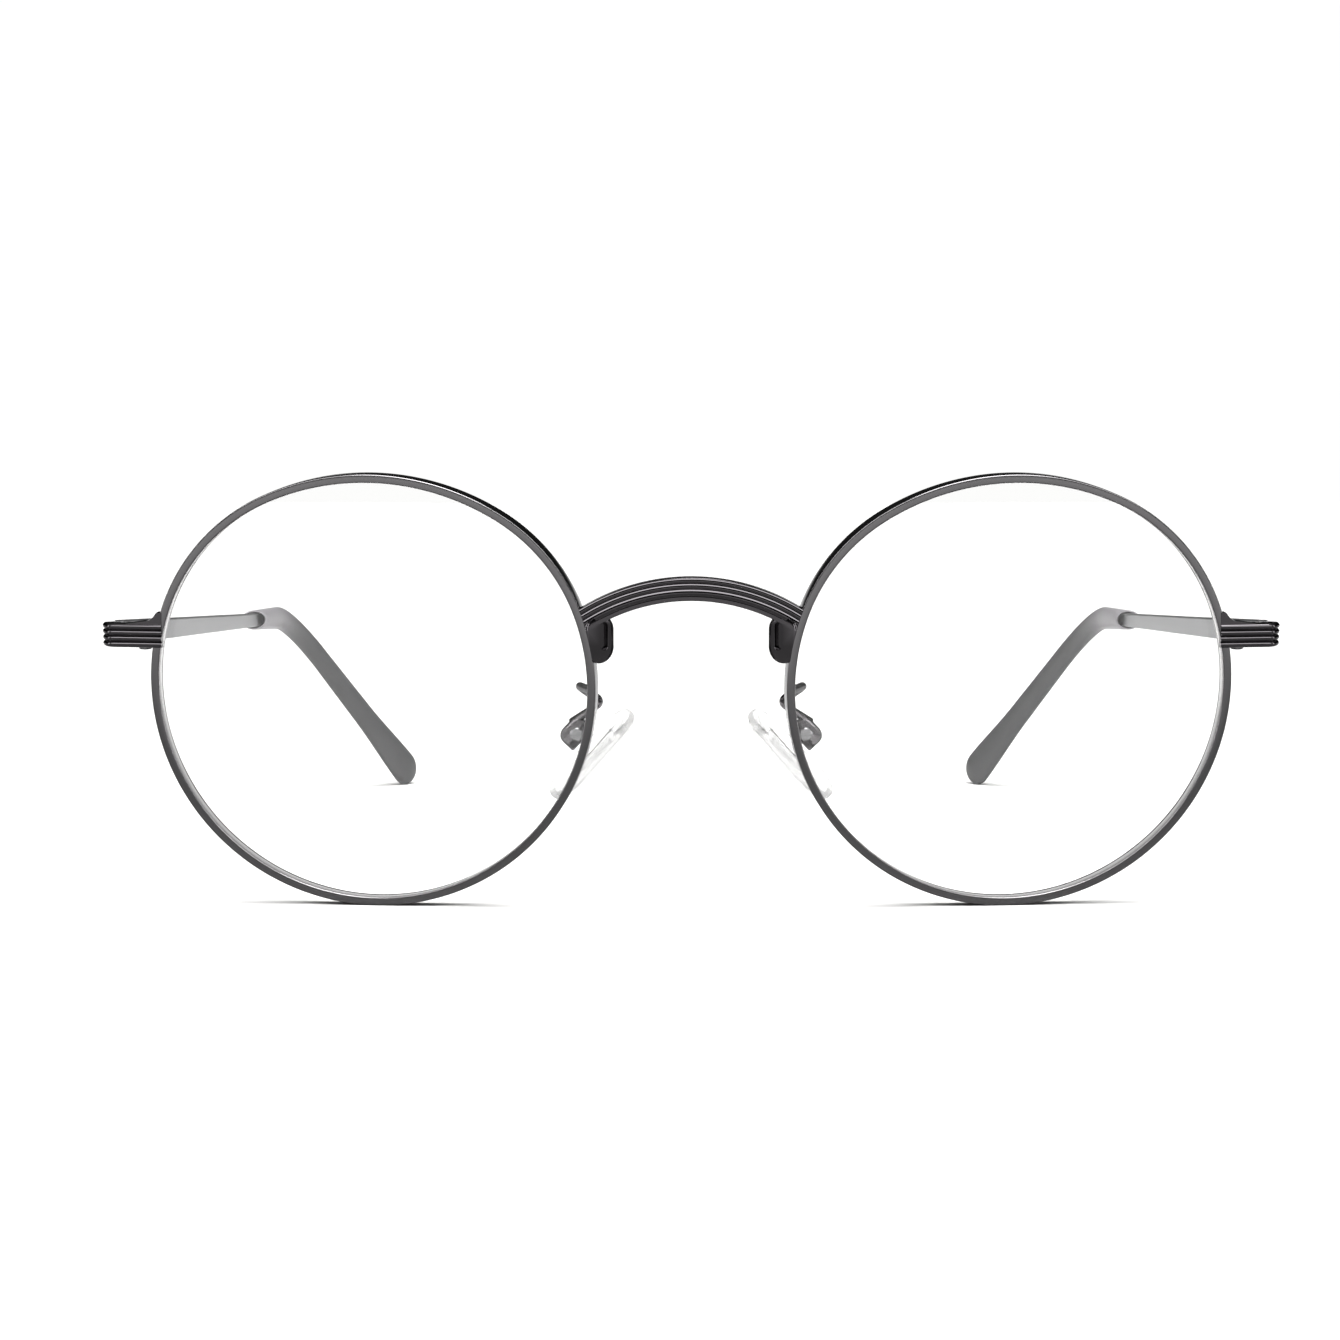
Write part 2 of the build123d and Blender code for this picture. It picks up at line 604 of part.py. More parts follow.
def make_hinge_screw():
    """A slotted screw down through the three knuckles."""
    top = HINGE_HEIGHT / 2 - HINGE_SINK
    shank = rod(HINGE_SCREW_RADIUS, -HINGE_HEIGHT / 2, top)
    head = rod(HINGE_HEAD_RADIUS, top, top + HINGE_HEAD)
    slot = box_between(
        (-KNUCKLE_RADIUS, -SCREW_SLOT / 2, top + HINGE_HEAD / 2),
        (KNUCKLE_RADIUS, SCREW_SLOT / 2, top + 1),
    )
    return hinge_plane.location * (shank + head - slot)


# ================================================================ temple and tip
def tip_course():
    """The frames that the tip follows: start of the bend, its centre and axis, and its end.

    The drop is as steep as it has to be for the rounded end to touch the surface.
    """
    bend_start = arm_plane.origin + arm_plane.z_dir * (TEMPLE_TO_TIP + TIP_TO_BEND)
    along = arm_plane.z_dir
    half_sizes = (TIP_THICKNESS / 2, TIP_HEIGHTS[-1] / 2, TIP_CAP)
    turn_in = radians(TIP_TURN_IN)
    drop = radians(35)
    for _ in range(30):
        down = Vector(-sin(turn_in) * cos(drop), cos(turn_in) * cos(drop), -sin(drop))
        bend = radians(along.get_angle(down))
        axis = along.cross(down).normalized()
        turned_x = arm_plane.x_dir.rotate(Axis((0, 0, 0), axis), degrees(bend))
        end_plane = Plane(origin=(0, 0, 0), x_dir=turned_x, z_dir=down)
        directions = (end_plane.x_dir, end_plane.y_dir, end_plane.z_dir)
        rest = sqrt(sum((size * way.Z) ** 2 for size, way in zip(half_sizes, directions)))
        tangent = BEND_RADIUS * tan(bend / 2)
        knee = bend_start + along * tangent
        drop = asin((knee.Z - rest) / (tangent + TIP_DROP))
    bend_end = knee + down * tangent
    start = Plane(origin=bend_start, x_dir=arm_plane.x_dir, z_dir=along)
    end = Plane(origin=bend_end, x_dir=turned_x, z_dir=down)
    inward = (down - along * along.dot(down)).normalized()
    return start, Axis(bend_start + inward * BEND_RADIUS, axis), degrees(bend), end


def make_arm(slack=0.0):
    """The flat arm, tapering from the hinge to inside the tip."""
    thick = TEMPLE_THICKNESS + 2 * slack
    sections = []
    for at, height in ((-1.0, TEMPLE_FRONT_HEIGHT), (TEMPLE_TO_TIP + ARM_IN_TIP, TEMPLE_BACK_HEIGHT)):
        plane = arm_plane.offset(at + (slack if at > 0 else 0))
        sections.append(plane * RectangleRounded(thick, height + 2 * slack, TEMPLE_EDGE + slack))
    return loft(sections)


def make_core(slack=0.0):
    """The round wire that stiffens the tip."""
    start, axis, bend, end = tip_course()
    disc = Circle(CORE_RADIUS + slack)
    back = start.offset(-(TIP_TO_BEND - ARM_IN_TIP + 1))
    straight = extrude(back * disc, TIP_TO_BEND - ARM_IN_TIP + 1)
    curve = revolve(start * disc, axis=axis, revolution_arc=bend)
    return straight + curve + extrude(end * disc, TIP_DROP - CORE_SHORT + slack)


def make_temple():
    """The metal arm and the core wire that runs on inside the tip."""
    square_end = Plane(
        origin=butt_plane.origin + BACK * BUTT_GAP, x_dir=ACROSS, z_dir=-butt_plane.z_dir
    )
    return make_arm() - beyond(square_end) + make_core()


def make_tip():
    """The moulded tip: an oval sleeve that bends down and broadens to a rounded end."""
    start, axis, bend, end = tip_course()
    mouth, knee, middle, last = [height / 2 for height in TIP_HEIGHTS]
    half = TIP_THICKNESS / 2
    lead = 2.0
    front = loft(
        [
            start.offset(-TIP_TO_BEND - lead) * Ellipse(MOUTH_THICKNESS / 2, mouth),
            start * Ellipse(half, knee),
        ]
    )
    curve = revolve(start * Ellipse(half, knee), axis=axis, revolution_arc=bend)
    drop = loft(
        [
            end * Ellipse(half, knee),
            end.offset(TIP_DROP * 0.5) * Ellipse(half, middle),
            end.offset(TIP_DROP * 0.8) * Ellipse(half, middle + (last - middle) * 0.6),
            end.offset(TIP_DROP) * Ellipse(half, last),
        ]
    )
    cap = end.offset(TIP_DROP).location * scale(Sphere(1), by=(half, last, TIP_CAP))
    tip = front + curve + drop + cap
    # the mouth is cut on a slant, so its outer lip reaches further forward
    slant = radians(MOUTH_SLANT)
    outward = arm_plane.x_dir * sin(slant) - arm_plane.z_dir * cos(slant)
    mouth_plane = Plane(origin=start.origin - start.z_dir * TIP_TO_BEND, z_dir=outward)
    tip -= beyond(mouth_plane)
    return tip - make_arm(TIP_CLEARANCE) - make_core(TIP_CLEARANCE)


# ================================================================ nose pads
def make_insert():
    """The pad's metal plate and the lug that stands on it in the box."""
    plate = Pos(-PIVOT_UP, 0, 0) * extrude(
        SlotOverall(INSERT_LENGTH, INSERT_WIDTH), INSERT_THICKNESS / 2, both=True
    )
    across = LUG_THICKNESS / 2
    round_lug = Rot(90, 0, 0) * rod(LUG_RADIUS, -across, across)
    neck = box_between((-NECK_WIDTH / 2, -across, -PIVOT_OUT), (NECK_WIDTH / 2, across, 0))
    hole = Rot(90, 0, 0) * rod(PAD_SCREW_RADIUS + PAD_SCREW_CLEARANCE, -1, 1)
    return pad_plane.location * plate + box_plane.location * (round_lug + neck - hole)


def make_pad(insert):
    """A clear pad, narrower at its top, moulded round the insert's plate."""
    low_round = PAD_WIDTH / 2
    high_round = low_round * PAD_TOP_SHARE
    low_at = PAD_LENGTH / 2 - low_round
    high_at = high_round - PAD_LENGTH / 2
    lean_in = asin((low_round - high_round) / (low_at - high_at))
    corner = Vector(-sin(lean_in), cos(lean_in), 0)
    mirrored = Vector(-sin(lean_in), -cos(lean_in), 0)
    low, high = Vector(low_at, 0, 0), Vector(high_at, 0, 0)
    outline = [
        ThreePointArc(low + corner * low_round, (PAD_LENGTH / 2, 0), low + mirrored * low_round),
        Line(low + mirrored * low_round, high + mirrored * high_round),
        ThreePointArc(high + mirrored * high_round, (-PAD_LENGTH / 2, 0), high + corner * high_round),
        Line(high + corner * high_round, low + corner * low_round),
    ]
    pad = extrude(make_face(outline), PAD_THICKNESS / 2, both=True)
    rims = [edge for edge in pad.edges() if abs(abs(edge.center().Z) - PAD_THICKNESS / 2) < 0.01]
    return pad_plane.location * fillet(rims, PAD_ROUND) - insert


def box_block():
    """The pad box's rounded outer shape, without its cavity."""
    block = box_between((-BOX_LENGTH / 2, -box_half, -BOX_IN), (BOX_LENGTH / 2, box_half, BOX_OUT))
    crown = block.edges().filter_by(Axis.Y).group_by(Axis.Z)[-1]
    domed = fillet(crown, BOX_CROWN)
    return fillet([edge for edge in domed.edges() if edge.center().Z > -BOX_IN + 0.01], BOX_ROUND)


def make_box():
    """A rounded cup that holds the insert's lug on the pad screw."""
    cavity = box_between(
        (BOX_WALL - BOX_LENGTH / 2, BOX_WALL - box_half, -BOX_IN - 1),
        (BOX_LENGTH / 2 - BOX_WALL, box_half - BOX_WALL, BOX_OUT - BOX_WALL),
    )
    hole = Rot(90, 0, 0) * rod(PAD_SCREW_RADIUS + PAD_SCREW_CLEARANCE, -box_half - 1, box_half + 1)
    return box_plane.location * (box_block() - cavity - hole)


def make_pad_screw():
    """A slotted screw through the box and the lug, with its head at the front."""
    shank = rod(PAD_SCREW_RADIUS, -box_half, box_half)
    head = rod(PAD_HEAD_RADIUS, box_half, box_half + PAD_HEAD)
    slot = box_between(
        (-1, -SCREW_SLOT / 2, box_half + PAD_HEAD / 2), (1, SCREW_SLOT / 2, box_half + PAD_HEAD + 1)
    )
    return box_plane.location * Rot(90, 0, 0) * (shank + head - slot)


def make_pad_arm():
    """A bent wire from the back of the rim to the closed side of the pad box."""
    foot = unit(ARM_FOOT) * (EYE_RADIUS + RIM_WALL / 2) - Vector(0, 0, RIM_DEPTH - ARM_RADIUS)
    start = rim_plane.from_local_coords(foot)
    loop = start + Vector(*ARM_LOOP)
    dip = loop + Vector(*ARM_DIP)
    seat = pad_pivot + pad_out * (BOX_OUT - ARM_RADIUS / 2) + pad_up * ARM_SEAT
    path = FilletPolyline(start, loop, dip, seat, radius=ARM_BEND)
    wire = sweep(Plane(origin=start, z_dir=loop - start) * Circle(ARM_RADIUS), path=path)
    trimmed = wire - rim_keep_out - box_plane.location * box_block()
    return max(trimmed.solids(), key=lambda piece: piece.volume)


# ================================================================ whole frame
def left_pieces():
    """Every piece of the wearer's left side, by name."""
    temple = make_temple()
    insert = make_insert()
    half_cut = RIM_SPLIT / 2
    return {
        "rim": make_rim(),
        "lens": make_lens(),
        "endpiece": make_endpiece(),
        "lock_upper": lock_block(half_cut, half_cut + LOCK_UPPER),
        "lock_lower": lock_block(-half_cut - LOCK_LOWER, -half_cut),
        "lock_screw": make_lock_screw(),
        "hinge_front": make_hinge_front(),
        "hinge_rear": make_hinge_back(temple),
        "hinge_screw": make_hinge_screw(),
        "temple": temple,
        "temple_tip": make_tip(),
        "pad_arm": make_pad_arm(),
        "pad_box": make_box(),
        "nose_pad": make_pad(insert),
        "pad_insert": insert,
        "pad_screw": make_pad_screw(),
    }


def all_pieces():
    """Both sides and the bridge, by name."""
    pieces = {"bridge": make_bridge()}
    for name, piece in left_pieces().items():
        pieces["left_" + name] = piece
        pieces["right_" + name] = mirror(piece, about=Plane.YZ)
    return pieces


def to_origin(pieces):
    """The move that brings the bottom centre of the whole frame to the origin."""
    boxes = [piece.bounding_box() for piece in pieces.values()]
    low_y = min(box.min.Y for box in boxes)
    high_y = max(box.max.Y for box in boxes)
    return Vector(0, -(low_y + high_y) / 2, -min(box.min.Z for box in boxes))


os.makedirs("parts", exist_ok=True)
finished = all_pieces()
shift = to_origin(finished)
for name, piece in finished.items():
    export_step(Pos(*shift) * piece, "parts/" + name + ".step")
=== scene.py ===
"""Round wire eyeglasses with ribbed bridge and endpieces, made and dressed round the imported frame."""
import json
import logging
from collections.abc import Sequence
from dataclasses import dataclass
from enum import Enum
from math import asin, atan2, cos, degrees, pi, radians, sin, sqrt, tan

import bmesh
import bpy
from bmesh.types import BMesh
from bpy.types import Curve, Material, Mesh, Node, NodeSocket, NodeTree, Object
from mathutils import Matrix, Vector


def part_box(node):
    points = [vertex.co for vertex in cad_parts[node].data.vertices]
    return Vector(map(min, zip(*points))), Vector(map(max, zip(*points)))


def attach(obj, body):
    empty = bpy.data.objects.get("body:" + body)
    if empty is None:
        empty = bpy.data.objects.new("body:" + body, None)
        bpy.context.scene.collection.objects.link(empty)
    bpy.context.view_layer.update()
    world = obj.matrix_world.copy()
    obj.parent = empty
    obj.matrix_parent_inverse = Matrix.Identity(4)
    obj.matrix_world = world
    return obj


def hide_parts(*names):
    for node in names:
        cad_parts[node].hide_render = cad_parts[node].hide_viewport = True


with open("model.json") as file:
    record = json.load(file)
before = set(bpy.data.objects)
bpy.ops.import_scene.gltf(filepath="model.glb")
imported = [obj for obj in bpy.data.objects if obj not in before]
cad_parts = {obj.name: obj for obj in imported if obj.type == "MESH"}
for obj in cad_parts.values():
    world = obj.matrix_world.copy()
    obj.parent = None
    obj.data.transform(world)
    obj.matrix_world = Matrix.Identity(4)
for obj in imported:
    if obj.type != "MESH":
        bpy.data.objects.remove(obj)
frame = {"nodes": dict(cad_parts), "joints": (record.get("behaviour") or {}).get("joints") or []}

log = logging.getLogger("eyeglasses")
MM = 0.001
# metres within which two corners are one
SAME_POINT = 2e-6
# shapes inside the node trees
RIB_FULLNESS = 0.75
RIB_STEPS = 8
SCREW_SIDES = 40
DOME_SHARE = 0.84
SLOT_REACH = 2.4
WIRE_SIDES = 24
WIRE_BEND_STEPS = 14
EYEWIRE_EDGE_STEPS = 4
Ring = list[Vector]
Outline = list[tuple[float, float]]
Triple = tuple[float, float, float]
Colour = Triple


class Side(Enum):
    """The wearer's two sides; the value is the sign of X."""

    LEFT = 1
    RIGHT = -1

    @property
    def word(self) -> str:
        """The side's name as it stands in node names."""
        return self.name.lower()


class Body(Enum):
    """The bodies that the pieces ride on."""

    FRONT = "front"
    TEMPLE = "temple_"
    PAD = "pad_"

    def of(self, side: Side) -> str:
        """The body's name on one side."""
        return self.value if self is Body.FRONT else self.value + side.word


# ------------------------------------------------------------------ places
def seat(origin: Vector, x: Vector, z: Vector) -> Matrix:
    """A placed set of axes.

    Args:
        origin: where it stands, in millimetres.
        x: its first axis.
        z: its third axis, square to the first.

    Returns:
        The matrix from local to frame coordinates.
    """
    x, z = x.normalized(), z.normalized()
    turn = Matrix((x, z.cross(x), z)).transposed()
    return Matrix.Translation(origin) @ turn.to_4x4()


@dataclass(frozen=True)
class Layout:
    """The sizes that the whole frame shares, in millimetres and degrees."""

    width: float = 140.0
    lean: float = 6.0
    face_form: float = 5.5
    bridge_gap: float = 22.4
    eye_radius: float = 25.6
    crown_shape: float = 1.145
    nose_shape: float = 0.844
    temple_shape: float = 0.875
    nose_from: float = 161.0
    temple_from: float = 19.0
    wall: float = 1.0
    depth: float = 2.8
    bevel: float = 0.12
    pad_back: float = 9.0
    slope: float = 1.9
    toe: float = 2.05

    @property
    def up(self) -> Vector:
        """Up along the leaning front."""
        return Vector((0, -sin(radians(self.lean)), cos(radians(self.lean))))

    @property
    def out(self) -> Vector:
        """Forward, square to the leaning front."""
        return Vector((0, -cos(radians(self.lean)), -sin(radians(self.lean))))

    @property
    def back(self) -> Vector:
        """Back along the falling temple, seen from the side."""
        return Vector((0, cos(radians(self.slope)), -sin(radians(self.slope))))

    @property
    def lens_centre(self) -> Vector:
        """Middle of the left lens."""
        form, lean = radians(self.face_form), radians(self.lean)
        outer = self.eye_radius + self.wall
        rise = self.bevel * cos(form) * sin(lean)
        height = outer * sqrt(cos(lean) ** 2 + (sin(form) * sin(lean)) ** 2) - rise
        return Vector((self.bridge_gap / 2 + outer * cos(form), 0, height))

    @property
    def rim_seat(self) -> Matrix:
        """Axes in the left rim's face: along to the temple, up, and out to the front."""
        form = radians(self.face_form)
        across = Vector((1, 0, 0))
        return seat(self.lens_centre, across * cos(form) - self.out * sin(form),
                    self.out * cos(form) + across * sin(form))

    @property
    def bridge_seat(self) -> Matrix:
        """Axes in the middle of the front, as far forward as the nose sides of the rims."""
        forward = (self.eye_radius + self.wall) * sin(radians(self.face_form))
        return seat(Vector((0, 0, self.lens_centre.z)) + self.out * forward, Vector((1, 0, 0)), self.out)

    @property
    def arcs(self) -> list[tuple[Vector, float, float, float]]:
        """The four tangent arcs inside the rim: centre, radius, first and last angle."""
        crown = self.eye_radius * self.crown_shape
        nose, temple = self.eye_radius * self.nose_shape, self.eye_radius * self.temple_shape
        nose_at = heading(self.nose_from) * (self.eye_radius - nose)
        temple_at = heading(self.temple_from) * (self.eye_radius - temple)
        to_nose, to_temple, between = crown - nose, crown - temple, temple_at - nose_at
        along = (to_nose ** 2 - to_temple ** 2 + between.length ** 2) / (2 * between.length)
        step = between.normalized()
        crown_at = nose_at + step * along + Vector((step.y, -step.x, 0)) * sqrt(to_nose ** 2 - along ** 2)
        nose_to = degrees(atan2(nose_at.y - crown_at.y, nose_at.x - crown_at.x))
        temple_to = degrees(atan2(temple_at.y - crown_at.y, temple_at.x - crown_at.x))
        return [(Vector((0, 0, 0)), self.eye_radius, self.nose_from, self.temple_from + 360),
                (temple_at, temple, self.temple_from, temple_to),
                (crown_at, crown, temple_to, nose_to),
                (nose_at, nose, nose_to, self.nose_from)]

    def outline(self, offset: float, step: float = 1.5) -> Ring:
        """Points round the rim.

        Args:
            offset: distance out from the rim's inner edge.
            step: about how many degrees between two points.

        Returns:
            The closed outline's points in the rim's plane.
        """
        points = []
        for centre, radius, start, end in self.arcs:
            count = max(8, round(abs(end - start) / step))
            for i in range(count):
                points.append(centre + heading(start + (end - start) * i / count) * (radius + offset))
        return points

    def reach(self, lift: float, offset: float, toward_temple: bool = True) -> float:
        """How far the outline goes sideways at one height.

        Args:
            lift: height above the lens centre.
            offset: distance out from the rim's inner edge.
            toward_temple: which way to look.

        Returns:
            The distance from the lens centre.
        """
        ring = self.outline(offset, 0.25)
        sign = 1 if toward_temple else -1
        best = 0.0
        for first, second in zip(ring, ring[1:] + ring[:1]):
            if (first.y - lift) * (second.y - lift) <= 0 and first.y != second.y:
                share = (lift - first.y) / (second.y - first.y)
                best = max(best, sign * (first.x + (second.x - first.x) * share))
        return best

    @property
    def setback(self) -> float:
        """The lens centres' place along the frame's length, from the pad joints."""
        pad = next(joint for joint in frame["joints"] if joint["name"] == "pad_left_rock")
        return pad["pos_m"][1] / MM - self.pad_back

    @property
    def hinge(self) -> Vector:
        """The left hinge axis at its middle, before the setback is added."""
        fold = next(joint for joint in frame["joints"] if joint["name"] == "temple_left_fold")
        return Vector(fold["pos_m"]) / MM - Vector((0, self.setback, 0))


def heading(angle: float) -> Vector:
    """The direction at an angle in degrees, in a local XY plane."""
    return Vector((cos(radians(angle)), sin(radians(angle)), 0))


LAYOUT = Layout()


# ------------------------------------------------------------------ mesh work
def skin(form: BMesh, rings: Sequence[Ring], closed: bool = False, caps: bool = True) -> None:
    """Covers a row of rings with faces.

    Args:
        form: the mesh to add to.
        rings: rings with equally many points each.
        closed: joins the last ring to the first.
        caps: closes both ends with a face.
    """
    rows = [[form.verts.new(point) for point in ring] for ring in rings]
    count = len(rows[0])
    pairs = list(zip(rows, rows[1:])) + ([(rows[-1], rows[0])] if closed else [])
    for first, second in pairs:
        for i in range(count):
            j = (i + 1) % count
            form.faces.new((first[i], first[j], second[j], second[i]))
    if caps and not closed:
        form.faces.new(list(reversed(rows[0])))
        form.faces.new(rows[-1])


def rounded_box(width: float, height: float, radius: float, steps: int = 5) -> Outline:
    """The outline of a rectangle with round corners."""
    points = []
    for quarter, (sx, sy) in enumerate(((1, 1), (-1, 1), (-1, -1), (1, -1))):
        cx, cy = sx * (width / 2 - radius), sy * (height / 2 - radius)
        for i in range(steps + 1):
            way = heading(90 * quarter + 90 * i / steps)
            points.append((cx + way.x * radius, cy + way.y * radius))
    return points


def oval(width: float, height: float, steps: int = 40) -> Outline:
    """The outline of an ellipse."""
    return [(width / 2 * cos(2 * pi * i / steps), height / 2 * sin(2 * pi * i / steps)) for i in range(steps)]


def stadium(width: float, height: float, steps: int = 32) -> Outline:
    """The outline of an upright slot with round ends."""
    points = []
    for i in range(steps):
        angle = 2 * pi * (i + 0.5) / steps
        lift = (height - width) / 2 * (1 if sin(angle) > 0 else -1)
        points.append((width / 2 * cos(angle), lift + width / 2 * sin(angle)))
    return points


def placed(outline: Sequence[tuple[float, float]], where: Matrix, rise: float = 0.0) -> Ring:
    """An outline's points on a seat, at a height over it."""
    return [where @ Vector((x, y, rise)) for x, y in outline]


def to_frame(mesh: Mesh, side: Side, sharp: float = 32.0) -> None:
    """Moves a mesh from left-side millimetres to its place in metres, and finishes its faces.

    Args:
        mesh: changed in place.
        side: the right side is mirrored.
        sharp: degrees past which an edge stays crisp.
    """
    form = bmesh.new()
    form.from_mesh(mesh)
    for vert in form.verts:
        x, y, z = vert.co
        vert.co = Vector((x * side.value, y + LAYOUT.setback, z)) * MM
    bmesh.ops.remove_doubles(form, verts=form.verts, dist=SAME_POINT)
    bmesh.ops.recalc_face_normals(form, faces=form.faces)
    for face in form.faces:
        face.smooth = True
    for edge in form.edges:
        edge.smooth = len(edge.link_faces) == 2 and edge.calc_face_angle(0.0) < radians(sharp)
    form.to_mesh(mesh)
    form.free()


def make_object(name: str, mesh: Mesh) -> Object:
    """A new object at the origin that shows a mesh."""
    obj = bpy.data.objects.new(name, mesh)
    bpy.context.scene.collection.objects.link(obj)
    return obj


def piece_from(name: str, form: BMesh, side: Side, sharp: float = 32.0) -> Object:
    """Turns a left-side shape in millimetres into a finished object.

    Args:
        name: the object's name.
        form: the shape, freed here.
        side: the right side is mirrored.
        sharp: degrees past which an edge stays crisp.

    Returns:
        The new object.
    """
    mesh = bpy.data.meshes.new(name)
    form.to_mesh(mesh)
    form.free()
    to_frame(mesh, side, sharp)
    return make_object(name, mesh)


def cut(form: BMesh, cutter: BMesh) -> BMesh:
    """Takes one closed shape out of another.

    Args:
        form: the shape to cut, freed here.
        cutter: the shape to take away, freed here.

    Returns:
        What is left.
    """
    helpers = []
    for shape in (form, cutter):
        bmesh.ops.recalc_face_normals(shape, faces=shape.faces)
        mesh = bpy.data.meshes.new("cut_helper")
        shape.to_mesh(mesh)
        shape.free()
        helpers.append(make_object("cut_helper", mesh))
    body, tool = helpers
    modifier = body.modifiers.new("cut", "BOOLEAN")
    modifier.operation, modifier.solver, modifier.object = "DIFFERENCE", "EXACT", tool
    left = evaluated(body)
    result = bmesh.new()
    result.from_mesh(left)
    bpy.data.meshes.remove(left)
    for helper in helpers:
        mesh = helper.data
        bpy.data.objects.remove(helper)
        bpy.data.meshes.remove(mesh)
    return result


def evaluated(obj: Object) -> Mesh:
    """A plain mesh of an object with its modifiers applied."""
    depsgraph = bpy.context.evaluated_depsgraph_get()
    depsgraph.update()
    return bpy.data.meshes.new_from_object(obj.evaluated_get(depsgraph), depsgraph=depsgraph)


# ------------------------------------------------------------------ node trees
class Wiring:
    """Builds one node tree, node by node."""

    def __init__(self, tree: NodeTree) -> None:
        """Starts on an empty tree."""
        self.tree = tree
        tree.nodes.clear()

    def node(self, kind: str, settings: dict[str, object] | None = None, **inputs: object) -> Node:
        """Adds a node.

        Args:
            kind: its type.
            settings: the node's own properties.
            inputs: values or sockets for its inputs, by name with underscores for spaces.

        Returns:
            The new node.
        """
        new = self.tree.nodes.new(kind)
        for name, value in (settings or {}).items():
            setattr(new, name, value)
        for name, value in inputs.items():
            self.feed(new.inputs[name.replace("_", " ")], value)
        return new

    def feed(self, socket: NodeSocket, value: object) -> None:
        """Gives an input a value, or links another node's output to it."""
        if isinstance(value, NodeSocket):
            self.tree.links.new(value, socket)
        else:
            socket.default_value = value

    def math(self, operation: str, first: object, second: object = 0.0) -> NodeSocket:
        """The result of a sum of one or two values."""
        new = self.node("ShaderNodeMath", {"operation": operation})
        self.feed(new.inputs[0], first)
        self.feed(new.inputs[1], second)
        return new.outputs[0]


class ShapeTree:
    """A Geometry Nodes tree that turns a path or some points into a finished mesh."""

    def __init__(self, name: str, sizes: dict[str, float]) -> None:
        """Makes the tree with its geometry, size and material inputs.

        Args:
            name: the tree's name.
            sizes: each size input and its usual value.
        """
        self.group = bpy.data.node_groups.new(name, "GeometryNodeTree")
        face = self.group.interface
        face.new_socket("Geometry", in_out="INPUT", socket_type="NodeSocketGeometry")
        for size, value in sizes.items():
            kind = "NodeSocketInt" if isinstance(value, int) else "NodeSocketFloat"
            face.new_socket(size, in_out="INPUT", socket_type=kind).default_value = value
        face.new_socket("Material", in_out="INPUT", socket_type="NodeSocketMaterial")
        face.new_socket("Geometry", in_out="OUTPUT", socket_type="NodeSocketGeometry")
        self.wiring = Wiring(self.group)
        self.inlet = self.wiring.node("NodeGroupInput")

    def size(self, name: str) -> NodeSocket:
        """The output of the group input that carries one of the sizes."""
        return self.inlet.outputs[name]

    def end(self, shape: NodeSocket) -> None:
        """Closes the tree: real geometry with the piece's material on it."""
        real = self.wiring.node("GeometryNodeRealizeInstances", Geometry=shape)
        dressed = self.wiring.node("GeometryNodeSetMaterial", Geometry=real.outputs[0],
                                   Material=self.size("Material"))
        outlet = self.wiring.node("NodeGroupOutput")
        self.wiring.feed(outlet.inputs[0], dressed.outputs[0])

    def grow(self, source: Object, material: Material, **sizes: float) -> Mesh:
        """Runs the tree on an object and throws the object away.

        Args:
            source: a curve or mesh in local millimetres.
            material: what the result is made of.
            sizes: values for the tree's size inputs, with underscores for spaces.

        Returns:
            The plain mesh that the tree made.
        """
        modifier = source.modifiers.new("shape", "NODES")
        modifier.node_group = self.group
        named = {item.name: item.identifier for item in self.group.interface.items_tree
                 if item.in_out == "INPUT"}
        for name, value in sizes.items():
            modifier[named[name.replace("_", " ")]] = value
        modifier[named["Material"]] = material
        mesh = evaluated(source)
        source.modifiers.remove(modifier)
        data = source.data
        bpy.data.objects.remove(source)
        (bpy.data.curves if isinstance(data, Curve) else bpy.data.meshes).remove(data)
        return mesh


def path_object(points: Sequence[Vector], cyclic: bool) -> Object:
    """A polyline curve object in local millimetres."""
    curve = bpy.data.curves.new("path", "CURVE")
    curve.dimensions = "3D"
    spline = curve.splines.new("POLY")
    spline.points.add(len(points) - 1)
    for target, point in zip(spline.points, points):
        target.co = (*point, 1.0)
    spline.use_cyclic_u = cyclic
    return make_object("path", curve)


def eyewire_tree() -> ShapeTree:
    """The tree that runs a bar with eased edges round a flat closed path."""
    tree = ShapeTree("eyewire", {"Wall": 1.0, "Depth": 2.8, "Edge Radius": 0.2})
    wiring = tree.wiring
    section = wiring.node("GeometryNodeCurvePrimitiveQuadrilateral", Width=tree.size("Wall"),
                          Height=tree.size("Depth"))
    eased = wiring.node("GeometryNodeFilletCurve", {"mode": "POLY"}, Curve=section.outputs[0],
                        Count=EYEWIRE_EDGE_STEPS, Radius=tree.size("Edge Radius"))
    level = wiring.node("GeometryNodeSetCurveNormal", {"mode": "Z_UP"}, Curve=tree.size("Geometry"))
    bar = wiring.node("GeometryNodeCurveToMesh", Curve=level.outputs[0], Profile_Curve=eased.outputs[0])
    tree.end(bar.outputs[0])
    return tree


def bent_wire_tree() -> ShapeTree:
    """The tree that rounds a path's corners and runs a round wire along it."""
    tree = ShapeTree("bent_wire", {"Wire Radius": 0.5, "Bend Radius": 1.2})
    wiring = tree.wiring
    round_path = wiring.node("GeometryNodeFilletCurve", {"mode": "POLY"}, Curve=tree.size("Geometry"),
                             Count=WIRE_BEND_STEPS, Radius=tree.size("Bend Radius"), Limit_Radius=True)
    section = wiring.node("GeometryNodeCurvePrimitiveCircle", Resolution=WIRE_SIDES,
                          Radius=tree.size("Wire Radius"))
    wire = wiring.node("GeometryNodeCurveToMesh", Curve=round_path.outputs[0],
                       Profile_Curve=section.outputs[0], Fill_Caps=True)
    tree.end(wire.outputs[0])
    return tree


